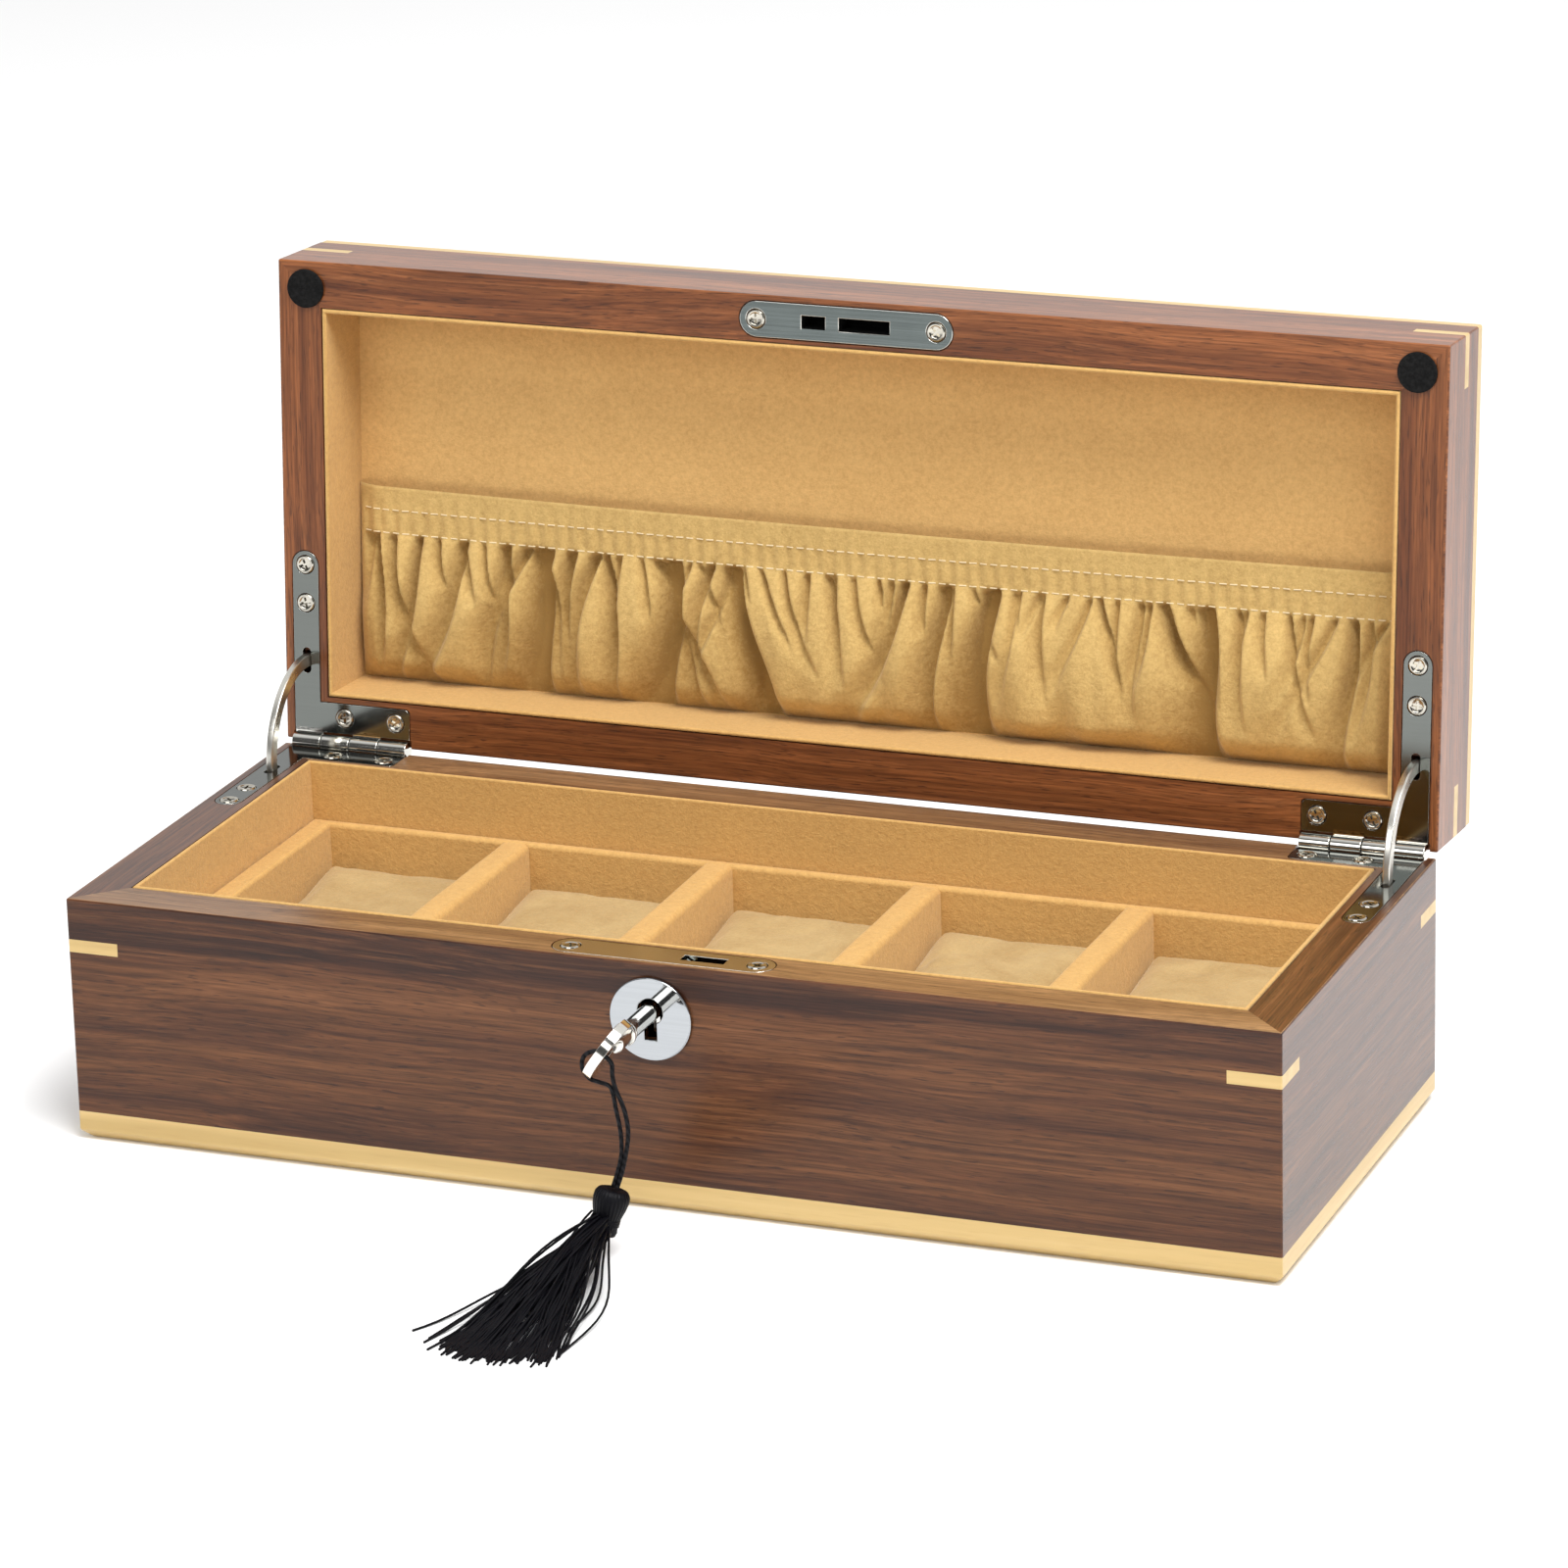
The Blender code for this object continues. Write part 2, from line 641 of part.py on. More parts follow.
def fit_plate(name, screws, holes, up, wall, axis):
    """A round-ended plate let into a rim, with its two screws."""
    z = RIM if up > 0 else LID_RIM
    outline = stadium(-PLATE_LENGTH / 2, PLATE_LENGTH / 2, PLATE_WIDTH)
    middle = (0, PLATE_Y, z - up * PLATE_THICK / 2)
    plate = add_piece(name, flat_mesh([outline], PLATE_THICK), middle, STEEL, axis)
    for hole in holes:
        slot = flat_mesh([stadium(*hole, SLOT_WIDTH)], 3 * PLATE_THICK)
        cut(plate, add_tool(slot, middle, axis))
    grown = stadium(-PLATE_LENGTH / 2 - FIT, PLATE_LENGTH / 2 + FIT, PLATE_WIDTH + 2 * FIT)
    deep = PLATE_THICK + FIT + OVERCUT
    seat = add_tool(
        flat_mesh([grown], deep), (0, PLATE_Y, z - up * (PLATE_THICK + FIT - deep / 2)), axis
    )
    cut(wall, seat)
    for side, label in ((-1, "left"), (1, "right")):
        place = Vector((side * PLATE_SCREW_X, PLATE_Y, z))
        add_piece(f"{screws}_{label}", screw_mesh(up), place, NICKEL, axis)
        cut(plate, add_tool(sink_mesh(up), place, axis))
        cut(wall, add_tool(rod_mesh(PILOT_R, PILOT_LENGTH, sides=12), place, axis))


def sink_mesh(up):
    """The countersink under a screw's head: a cone that runs past both plate faces."""
    height = OVERCUT - SINK_FOOT
    mesh = rod_mesh(SINK_FOOT_R, height, sides=14, end_radius=SINK_FOOT_R + height)
    mesh.transform(Matrix.Translation((0, 0, (SINK_FOOT + OVERCUT) / 2)))
    if up < 0:
        mesh.transform(Matrix.Rotation(math.pi, 4, "X"))
    return mesh


def keyhole(grow=0.0):
    """The keyhole's outline about the key's axis: a round hole with a slot below it."""
    radius = KEYHOLE_R + grow
    half = KEYHOLE_SLOT / 2 + grow
    drop = KEYHOLE_DROP + grow
    meet = math.acos(half / radius)
    points = arc((0, 0), radius, -meet, math.pi + meet, 18)
    return points + [(-half, -drop), (half, -drop)]


def add_lock(front_wall):
    top = RIM - PLATE_THICK - FIT
    bottom = RIM - LOCK_DROP
    case = add_box(
        "lock_case", (-LOCK_HALF, LOCK_FRONT, bottom), (LOCK_HALF, LOCK_BACK, top), STEEL
    )
    hollow = LOCK_HALF - LOCK_SHELL
    cavity = box_tool(
        (-hollow, LOCK_FRONT - OVERCUT, bottom + LOCK_SHELL),
        (hollow, LOCK_BACK - LOCK_SHELL, top - LOCK_SHELL),
    )
    mouth = box_tool(
        (LOCK_SLOT[0] - FIT, LOCK_FRONT - OVERCUT, top - 2 * LOCK_SHELL),
        (LOCK_SLOT[1] + FIT, LOCK_BACK - LOCK_SHELL, top + OVERCUT),
    )
    cut(case, cavity, mouth)
    pin_end = LOCK_FRONT + BIT_START
    pin_length = LOCK_BACK - FIT - pin_end
    drill_pin = add_tool(
        rod_mesh(DRILL_PIN_R, pin_length, FRONT_ON), (KEY_X, pin_end + pin_length / 2, KEY_Z)
    )
    join(case, drill_pin)
    pocket = box_tool(
        (-LOCK_HALF - FIT, LOCK_FRONT - FIT, bottom - FIT),
        (LOCK_HALF + FIT, LOCK_BACK + FIT, RIM + OVERCUT),
    )
    opening = flat_mesh([keyhole(KEYHOLE_PLAY)], WALL, FRONT_ON)
    cut(front_wall, pocket, add_tool(opening, (KEY_X, -DEPTH / 2, KEY_Z)))
    fit_plate("lock_plate", "lock_plate_screw", [LOCK_SLOT], 1, front_wall, None)


def add_escutcheon():
    lift = KEY_Z - ESCUTCHEON_Z
    hole = [(x, z + lift) for x, z in keyhole()]
    disc = circle((0, 0), ESCUTCHEON_R, 40)
    mesh = flat_mesh([disc, hole], ESCUTCHEON_THICK, FRONT_ON)
    y = -DEPTH / 2 - FIT - ESCUTCHEON_THICK / 2
    add_piece("escutcheon", mesh, (KEY_X, y, ESCUTCHEON_Z), CHROME)


def add_hook():
    """The lock's hook: a band around its pivot, carried on an arm from a hub."""
    band = arc((0, 0), HOOK_OUTER, HOOK_TIP, HOOK_TAIL, 8)
    band += arc((0, 0), HOOK_INNER, HOOK_TAIL, HOOK_TIP, 8)
    place = (HOOK_X, PLATE_Y, RIM - HOOK_DROP)
    band_mesh = flat_mesh([band], HOOK_THICK, FRONT_ON)
    hook = add_piece("lock_hook", band_mesh, place, STEEL, HOOK_AXIS)
    hub = add_tool(rod_mesh(HOOK_HUB_R, HOOK_THICK, FRONT_ON), place, HOOK_AXIS)
    arm_length = (HOOK_INNER + HOOK_OUTER) / 2
    arm = block_mesh((arm_length, HOOK_THICK - FIT, HOOK_ARM_HEIGHT))
    arm.transform(Matrix.Translation((arm_length / 2, 0, 0)))
    arm.transform(Matrix.Rotation(-HOOK_ARM, 4, "Y"))
    join(hook, hub, add_tool(arm, place, HOOK_AXIS))


def seat_strike(front_wall):
    fit_plate(
        "strike_plate", "strike_plate_screw", [STRIKE_HOLE, STRIKE_SLOT], -1,
        front_wall, LID_AXIS,
    )
    low_y, high_y = PLATE_Y - HOOK_ROOM_HALF, PLATE_Y + HOOK_ROOM_HALF
    low_z, floor = LID_RIM - OVERCUT, LID_RIM + PLATE_THICK
    hook_room = box_tool(
        (STRIKE_SLOT[0] - OVERCUT, low_y, low_z),
        (HOOK_X + HOOK_ROOM_PAST, high_y, floor + HOOK_ROOM_DEEP), LID_AXIS,
    )
    hole_room = box_tool(
        (STRIKE_HOLE[0] - FIT, low_y, low_z),
        (STRIKE_HOLE[1] + FIT, high_y, floor + HOLE_ROOM_DEEP), LID_AXIS,
    )
    cut(front_wall, hook_room, hole_room)


# ---------------------------------------------------------------- key and tassel
def along_y(low, high):
    """Length and middle of a stretch along y."""
    return high - low, (low + high) / 2


def add_key():
    shaft_in = LOCK_BACK - LOCK_SHELL - 3 * FIT
    length, middle = along_y(BOW_Y + SHAFT_IN_BOW, shaft_in)
    place = (KEY_X, middle, KEY_Z)
    key = add_piece("key", rod_mesh(SHAFT_R, length, FRONT_ON, 20), place, CHROME, KEY_AXIS)
    ring = rod_mesh(COLLAR_R, COLLAR_LENGTH, FRONT_ON, 20)
    collar = add_tool(ring, (KEY_X, BOW_Y + COLLAR_Y, KEY_Z), KEY_AXIS)
    oval = [(x * BOW_HALF[1], y * BOW_HALF[0]) for x, y in circle((0, 0), 1, 28)]
    bow = flat_mesh([oval, circle(BOW_HOLE, BOW_HOLE_R, 14)], BOW_THICK)
    bow.transform(Matrix.Rotation(math.pi / 2 + BOW_TURN, 4, "Y"))
    bow_tool = add_tool(bow, (KEY_X, BOW_Y, KEY_Z), KEY_AXIS)
    bit_length, bit_middle = along_y(LOCK_FRONT + BIT_START, LOCK_FRONT + BIT_END)
    bit = block_mesh((BIT_THICK, bit_length, BIT_REACH - BIT_ROOT))
    bit_z = KEY_Z - (BIT_REACH + BIT_ROOT) / 2
    join(key, collar, bow_tool, add_tool(bit, (KEY_X, bit_middle, bit_z), KEY_AXIS))
    bore_length, bore_middle = along_y(LOCK_FRONT - 3 * OVERCUT, shaft_in + OVERCUT)
    bore = rod_mesh(SHAFT_BORE_R, bore_length, FRONT_ON)
    cut(key, add_tool(bore, (KEY_X, bore_middle, KEY_Z), KEY_AXIS))


def smooth_route(points, per_span):
    """Points on a smooth curve through a route's own points."""
    ends = [Vector(points[0]) * 2 - Vector(points[1])]
    ends += [Vector(p) for p in points]
    ends += [Vector(points[-1]) * 2 - Vector(points[-2])]
    route = []
    for a, b, c, d in zip(ends, ends[1:], ends[2:], ends[3:]):
        for step in range(per_span):
            t = step / per_span
            route.append(
                0.5 * (2 * b + (c - a) * t + (2 * a - 5 * b + 4 * c - d) * t * t
                       + (3 * b - a - 3 * c + d) * t ** 3)
            )
    return route + [ends[-2]]


def add_cord():
    curve = bpy.data.curves.new("tassel_cord", "CURVE")
    curve.dimensions = "3D"
    curve.bevel_depth = CORD_R
    curve.bevel_resolution = 2
    curve.use_fill_caps = True
    route = smooth_route(CORD_ROUTE, 2)
    spline = curve.splines.new("POLY")
    spline.points.add(len(route) - 1)
    for point, place in zip(spline.points, route):
        point.co = (*(place - TASSEL_AXIS.location), 1)
    cord = bpy.data.objects.new("tassel_cord", curve)
    curve.materials.append(TASSEL)
    cord.parent = TASSEL_AXIS
    PIECES.objects.link(cord)


def add_knot():
    """The tassel's head: a round top on a narrower neck, leaning towards the box."""
    height = (KNOT_TOP - KNOT_FOOT).length
    mesh = bpy.data.meshes.new("tassel_head")
    profile = [(KNOT_R * x, 0, (z - 0.5) * height) for x, z in KNOT_PROFILE]
    mesh.from_pydata(profile, [(i, i + 1) for i in range(len(profile) - 1)], [])
    head = add_piece("tassel_head", mesh, (KNOT_TOP + KNOT_FOOT) / 2, TASSEL, TASSEL_AXIS)
    turning = head.modifiers.new("turn", "SCREW")
    turning.steps = 18
    turning.render_steps = 18
    turning.use_merge_vertices = True
    turning.merge_threshold = 0.00001
    head.rotation_euler = (KNOT_TOP - KNOT_FOOT).to_track_quat("Z", "Y").to_euler()


def add_skirt():
    """The tassel's skirt, spread forward on the surface that the box stands on."""
    mesh = flat_mesh([SKIRT_OUTLINE], 1.0)
    for vertex in mesh.vertices:
        share = (SKIRT_NEAR - vertex.co.y) / (SKIRT_NEAR - SKIRT_FAR)
        tall = SKIRT_HIGH + (SKIRT_LOW - SKIRT_HIGH) * min(share * SKIRT_SLOPE, 1)
        vertex.co.z = tall if vertex.co.z > 0 else SKIRT_FOOT
    mesh.transform(Matrix.Translation((0, -BOW_Y, 0)))
    add_piece("tassel_skirt", mesh, (0, BOW_Y, 0), TASSEL, TASSEL_AXIS)


clear_scene()
PIECES = new_collection("watch_box")
TOOLS = new_collection("cutters")

WALNUT = new_material("walnut", (0.20, 0.09, 0.05), 0.38)
MAPLE = new_material("maple", (0.79, 0.58, 0.30), 0.35)
BOARD = new_material("board", (0.45, 0.32, 0.20), 0.75)
FELT = new_material("felt", (0.10, 0.07, 0.05), 0.95)
SUEDE = new_material("suede", (0.56, 0.33, 0.11), 0.9)
POCKET = new_material("pocket_cloth", (0.50, 0.33, 0.12), 0.9)
PILLOW = new_material("pillow_cloth", (0.70, 0.50, 0.24), 0.9)
NICKEL = new_material("nickel", (0.78, 0.75, 0.70), 0.15, 1.0)
STEEL = new_material("steel", (0.62, 0.62, 0.62), 0.35, 1.0)
CHROME = new_material("chrome", (0.86, 0.87, 0.88), 0.06, 1.0)
RUBBER = new_material("rubber", (0.01, 0.01, 0.01), 0.5)
TASSEL = new_material("tassel_thread", (0.01, 0.01, 0.012), 0.6)

LID_AXIS = new_axis("lid_axis", HINGE)
STAY_AXIS = new_axis("stay_axis", HINGE)
TASSEL_AXIS = new_axis("tassel_axis", (KEY_X, BOW_Y, 0))
KEY_AXIS = new_axis("key_axis", (KEY_X, -DEPTH / 2, KEY_Z))
HOOK_AXIS = new_axis("hook_axis", (HOOK_X, PLATE_Y, RIM - HOOK_DROP))

base_walls = add_base_case()
lid_walls = add_lid_case()
add_hinges(base_walls, lid_walls)
add_base_lining()
add_pillows()
add_lid_lining()
add_pocket()
add_bumpers()
add_lock(base_walls["front"])
add_escutcheon()
add_hook()
seat_strike(lid_walls["front"])
add_key()
add_cord()
add_knot()
add_skirt()

LID_AXIS.rotation_euler.x = -LID_OPEN
STAY_AXIS.rotation_euler.x = -LID_OPEN / 2
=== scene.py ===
import json
import math
import random

import bmesh
import bpy
from mathutils import Matrix, Vector, noise


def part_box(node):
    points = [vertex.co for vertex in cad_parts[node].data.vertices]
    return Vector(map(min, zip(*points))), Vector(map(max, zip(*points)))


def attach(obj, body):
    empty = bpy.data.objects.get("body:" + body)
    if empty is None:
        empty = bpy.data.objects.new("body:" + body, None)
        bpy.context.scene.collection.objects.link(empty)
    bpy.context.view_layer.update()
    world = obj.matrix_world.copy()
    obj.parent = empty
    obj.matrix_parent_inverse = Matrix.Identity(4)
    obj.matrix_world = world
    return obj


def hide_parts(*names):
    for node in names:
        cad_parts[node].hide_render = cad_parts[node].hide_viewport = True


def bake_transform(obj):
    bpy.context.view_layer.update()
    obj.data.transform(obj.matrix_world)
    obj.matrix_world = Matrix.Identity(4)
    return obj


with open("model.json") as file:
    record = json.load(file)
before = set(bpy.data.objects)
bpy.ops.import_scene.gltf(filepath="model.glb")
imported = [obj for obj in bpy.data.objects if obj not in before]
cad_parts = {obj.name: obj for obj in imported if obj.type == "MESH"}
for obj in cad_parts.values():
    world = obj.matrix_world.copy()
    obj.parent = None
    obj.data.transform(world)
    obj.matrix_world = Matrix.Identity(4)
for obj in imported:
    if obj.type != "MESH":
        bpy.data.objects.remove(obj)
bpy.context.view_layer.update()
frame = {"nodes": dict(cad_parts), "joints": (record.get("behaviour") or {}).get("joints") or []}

# ---------------------------------------------------------------- sizes from the frame
NODES = frame["nodes"]
JOINTS = {joint["name"]: joint for joint in frame["joints"]}
HINGE = Vector((0, *JOINTS["lid_hinge"]["pos_m"][1:]))
LID_OPEN = math.radians(JOINTS["lid_hinge"]["range_deg"][0])
LID_TURN = (
    Matrix.Translation(HINGE) @ Matrix.Rotation(LID_OPEN, 4, "X") @ Matrix.Translation(-HINGE)
)
LID_BACK = LID_TURN.inverted()
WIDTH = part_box("plinth")[1].x * 2
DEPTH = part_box("plinth")[1].y * 2
PLINTH_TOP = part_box("plinth")[1].z
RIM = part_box("base_wall_front")[1].z
FLOOR_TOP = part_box("tray_floor")[1].z
TRAY_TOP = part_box("tray_frame")[1].z
TRAY_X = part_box("tray_frame")[1].x
TRAY_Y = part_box("tray_frame")[1].y

# ---------------------------------------------------------------- sizes as in the CAD source
FIT = 0.0003
RIM_GAP = 0.0013
LID_RIM = RIM + RIM_GAP
LID_TOP = LID_RIM + 0.0317
WALL = 0.013
LINING = 0.0012
LINING_PROUD = 0.0003
INNER_X = WIDTH / 2 - WALL - FIT - LINING
INNER_Y = DEPTH / 2 - WALL - FIT - LINING
PLINTH_WIDTH = 0.016
PLINTH_CHAMFER = 0.0028
EDGING_HEIGHT = 0.0043
EDGING_WIDTH = 0.006
CEILING = LID_RIM + 0.0221
SPLINE_LEG = 0.0146
SPLINE_THICK = 0.0036
BASE_SPLINE_Z = RIM - 0.0133
LID_SPLINE_Z = LID_RIM + 0.0168
TRAY_END = 0.0066
TRAY_SIDE = 0.0032
DIVIDER = 0.0086
CELL_X = (2 * (TRAY_X - TRAY_END) - 4 * DIVIDER) / 5
CELL_Y = TRAY_Y - TRAY_SIDE
PITCH = CELL_X + DIVIDER
PILLOW_TOP = 0.0440

LEAF = 0.0016
LEAF_INNER_X = 0.1318
LEAF_ARM_X = 0.1633
LEAF_ARM_HALF = 0.0039
LEAF_REACH = 0.0555
LEAF_BACK_REACH = 0.0118
LEAF_NEAR = 0.0031
LEAF_SCREWS = ((0.1633, 0.0516), (0.1633, 0.0405), (0.1518, 0.0077), (0.1361, 0.0077))
BARREL_R = 0.00265
BARREL_IN = 0.1318
BARREL_OUT = 0.1672
KNUCKLES = 4
STAY_MIDDLE = 0.02375
STAY_HALF = 0.00375
STAY_THICK = 0.0020
MORTISE_NEAR, MORTISE_FAR, MORTISE_DEEP = 0.0118, 0.0263, 0.0225

PLATE_LENGTH = 0.062
PLATE_WIDTH = 0.010
PLATE_THICK = 0.0015
PLATE_Y = -0.0624
PLATE_SCREW_X = 0.0262
LOCK_SLOT = (0.0053, 0.0174)
STRIKE_SLOT = (-0.0020, 0.0127)
STRIKE_HOLE = (-0.0129, -0.0060)
SLOT_WIDTH = 0.0036
SLOT_DEEP = 0.006

KEY_X = -0.0010
KEY_Z = 0.0560
SHAFT_R = 0.0026
BOW_Y = -0.0987
KEY_BORE_R = 0.0016
KEY_BORE_DEEP = 0.0070
BOW_TURN = math.radians(35)
ESCUTCHEON_R = 0.0114
ESCUTCHEON_Z = 0.0539
ESCUTCHEON_THICK = 0.0010
KEYHOLE_R = 0.0035
KEYHOLE_SLOT = 0.0034
KEYHOLE_DROP = 0.0078
BUMPER_R = 0.0055
BUMPER_PLACE = (0.1614, -0.0615)
POCKET_REACH = 0.0716

FRONT_ON = Matrix.Rotation(math.radians(90), 4, "X")
ALONG_X = Matrix.Rotation(math.radians(90), 4, "Y")
UPSIDE_DOWN = Matrix.Rotation(math.pi, 4, "X")
STILL = Matrix.Identity(4)


# ---------------------------------------------------------------- camera, light and floor
def add_camera():
    camera = bpy.data.objects.new("camera", bpy.data.cameras.new("camera"))
    bpy.context.scene.collection.objects.link(camera)
    camera.data.lens = 158.9
    camera.data.sensor_width = 36
    camera.data.shift_x = -0.0019
    camera.data.clip_start = 0.05
    camera.data.clip_end = 50
    camera.location = (0.6557, -1.6188, 0.6868)
    camera.rotation_euler = [math.radians(angle) for angle in (71.286, 1.460, 21.222)]
    bpy.context.scene.camera = camera


def add_area(name, place, target, size, power, colour=(1, 1, 1)):
    light = bpy.data.objects.new(name, bpy.data.lights.new(name, "AREA"))
    bpy.context.scene.collection.objects.link(light)
    light.data.shape = "RECTANGLE"
    light.data.size, light.data.size_y = size
    light.data.energy = power
    light.data.color = colour
    light.location = place
    light.rotation_euler = (Vector(target) - Vector(place)).to_track_quat("-Z", "Y").to_euler()


def add_world():
    """White all round, and darker low down in front, where a studio's own room shows."""
    world = bpy.data.worlds.new("studio")
    world.use_nodes = True
    bpy.context.scene.world = world
    tree = world.node_tree
    back = tree.nodes["Background"]
    back.inputs["Strength"].default_value = WORLD_STRENGTH
    place = tree.nodes.new("ShaderNodeTexCoord")
    split = tree.nodes.new("ShaderNodeSeparateXYZ")
    tree.links.new(place.outputs["Generated"], split.inputs[0])
    ramp = tree.nodes.new("ShaderNodeMapRange")
    ramp.interpolation_type = "SMOOTHSTEP"
    ramp.inputs["From Min"].default_value = -0.62
    ramp.inputs["From Max"].default_value = -0.22
    ramp.inputs["To Min"].default_value = 0.09
    ramp.inputs["To Max"].default_value = 1.0
    tree.links.new(split.outputs["Y"], ramp.inputs["Value"])
    tree.links.new(ramp.outputs[0], back.inputs["Color"])


def add_floor():
    mesh = bpy.data.meshes.new("floor")
    shape = bmesh.new()
    bmesh.ops.create_grid(shape, x_segments=1, y_segments=1, size=FLOOR_HALF)
    shape.to_mesh(mesh)
    shape.free()
    floor = bpy.data.objects.new("floor", mesh)
    bpy.context.scene.collection.objects.link(floor)
    maker = Maker("floor", roughness=0.9)
    maker.shader.inputs["Specular IOR Level"].default_value = 0.0
    cloud = maker.noise(maker.place, 1.5)
    maker.paint(maker.mix(cloud, (0.93, 0.93, 0.93), (0.91, 0.91, 0.91)))
    mesh.materials.append(maker.material)


WORLD_STRENGTH = 0.82
FLOOR_HALF = 6.0


# ---------------------------------------------------------------- materials
class Maker:
    """Makes a material and joins up its nodes. Places are in the piece's own metres."""

    def __init__(self, name, roughness=0.5, metallic=0.0, coat=0.0, coat_roughness=0.1, sheen=0.0):
        self.material = bpy.data.materials.new(name)
        self.material.use_nodes = True
        self.tree = self.material.node_tree
        self.shader = self.tree.nodes["Principled BSDF"]
        self.shader.inputs["Roughness"].default_value = roughness
        self.shader.inputs["Metallic"].default_value = metallic
        self.shader.inputs["Coat Weight"].default_value = coat
        self.shader.inputs["Coat Roughness"].default_value = coat_roughness
        self.shader.inputs["Sheen Weight"].default_value = sheen
        self.shader.inputs["Sheen Roughness"].default_value = 0.45
        self.place = self.add("ShaderNodeTexCoord").outputs["Object"]

    def add(self, kind):
        return self.tree.nodes.new(kind)

    def join(self, output, socket):
        """Feeds a socket with another node's output, or with a plain value."""
        if isinstance(output, bpy.types.NodeSocket):
            self.tree.links.new(output, socket)
        else:
            socket.default_value = output

    def mapping(self, place, scale=(1, 1, 1), turn=(0, 0, 0), shift=(0, 0, 0)):
        node = self.add("ShaderNodeMapping")
        node.inputs["Location"].default_value = shift
        node.inputs["Rotation"].default_value = turn
        node.inputs["Scale"].default_value = scale
        self.join(place, node.inputs["Vector"])
        return node.outputs["Vector"]

    def noise(self, place, scale, detail=2.0, rough=0.5, twist=0.0):
        node = self.add("ShaderNodeTexNoise")
        node.inputs["Scale"].default_value = scale
        node.inputs["Detail"].default_value = detail
        node.inputs["Roughness"].default_value = rough
        node.inputs["Distortion"].default_value = twist
        self.join(place, node.inputs["Vector"])
        return node.outputs["Fac"]

    def map_range(self, value, low, high, to_low=0.0, to_high=1.0):
        node = self.add("ShaderNodeMapRange")
        for socket, number in zip(node.inputs[1:5], (low, high, to_low, to_high)):
            socket.default_value = number
        self.join(value, node.inputs["Value"])
        return node.outputs[0]

    def maths(self, operation, a, b):
        node = self.add("ShaderNodeMath")
        node.operation = operation
        self.join(a, node.inputs[0])
        self.join(b, node.inputs[1])
        return node.outputs[0]

    def vector(self, operation, a, b):
        node = self.add("ShaderNodeVectorMath")
        node.operation = operation
        self.join(a, node.inputs[0])
        self.join(b, node.inputs[1])
        return node.outputs[0]

    def ramp(self, value, stops):
        node = self.add("ShaderNodeValToRGB")
        self.join(value, node.inputs["Fac"])
        points = node.color_ramp.elements
        while len(points) < len(stops):
            points.new(0.5)
        for point, (position, colour) in zip(points, stops):
            point.position = position
            point.color = (*colour, 1)
        return node.outputs["Color"]

    def mix(self, share, a, b, blend="MIX"):
        node = self.add("ShaderNodeMix")
        node.data_type = "RGBA"
        node.blend_type = blend
        self.join(share, node.inputs["Factor"])
        for socket, value in ((node.inputs[6], a), (node.inputs[7], b)):
            self.join(value if isinstance(value, bpy.types.NodeSocket) else (*value, 1), socket)
        return node.outputs[2]

    def bump(self, height, distance, strength=1.0):
        node = self.add("ShaderNodeBump")
        node.inputs["Distance"].default_value = distance
        node.inputs["Strength"].default_value = strength
        self.join(height, node.inputs["Height"])
        self.join(node.outputs["Normal"], self.shader.inputs["Normal"])

    def paint(self, colour):
        self.join(colour, self.shader.inputs["Base Color"])
        return self.material


def walnut(name, tones, turn=0.0, shift=(0, 0, 0)):
    """Walnut under satin lacquer. The grain runs along x, or turned about z."""
    maker = Maker(name, roughness=0.45, coat=1.0, coat_roughness=0.27)
    maker.shader.inputs["Specular IOR Level"].default_value = 0.08
    maker.shader.inputs["Coat IOR"].default_value = 1.34
    grain = maker.mapping(maker.place, turn=(0, 0, turn), shift=shift)
    drift = maker.noise(maker.mapping(grain, scale=(6, 14, 14)), 1.0, 2.0)
    sway = maker.vector("MULTIPLY", maker.vector("SUBTRACT", drift, (0.5, 0.5, 0.5)),
                        (0.0, 0.012, 0.012))
    bent = maker.vector("ADD", grain, sway)
    bands = maker.noise(maker.mapping(bent, scale=(2.2, 95, 95)), 1.0, 4.0, 0.62)
    lines = maker.noise(maker.mapping(bent, scale=(7, 600, 600)), 1.0, 3.0, 0.65)
    fibres = maker.noise(maker.mapping(bent, scale=(40, 1700, 1700)), 1.0, 3.0, 0.7)
    pores = maker.noise(maker.mapping(bent, scale=(150, 2400, 2400)), 1.0, 1.0, 0.5)
    dark, brown, warm, pale = tones
    colour = maker.ramp(bands, ((0.34, dark), (0.46, brown), (0.56, warm), (0.70, pale)))
    streak = maker.map_range(lines, 0.50, 0.66)
    colour = maker.mix(maker.maths("MULTIPLY", streak, 0.60), colour, dark)
    light = maker.map_range(lines, 0.46, 0.32)
    colour = maker.mix(maker.maths("MULTIPLY", light, 0.45), colour, pale)
    share = maker.map_range(fibres, 0.36, 0.66, 0.66, 1.28)
    colour = maker.mix(1.0, colour, maker.vector("MULTIPLY", share, (1, 1, 1)), "MULTIPLY")
    hole = maker.map_range(pores, 0.62, 0.70)
    colour = maker.mix(maker.maths("MULTIPLY", hole, 0.55), colour, WALNUT_PORE)
    maker.bump(maker.maths("SUBTRACT", lines, hole), 0.00005, 0.6)
    return maker.paint(colour)


WALNUT_PORE = (0.016, 0.006, 0.004)
BROWN_TONES = ((0.034, 0.010, 0.004), (0.087, 0.029, 0.010), (0.119, 0.043, 0.014),
               (0.178, 0.069, 0.025))
# lighter tones for the top faces of the front and back boards: painted light
RIM_LIT_TONES = ((0.130, 0.060, 0.025), (0.210, 0.105, 0.042), (0.270, 0.140, 0.058),
             (0.340, 0.190, 0.085))
RED_TONES = ((0.094, 0.026, 0.008), (0.174, 0.055, 0.016), (0.236, 0.077, 0.023),
             (0.315, 0.114, 0.039))


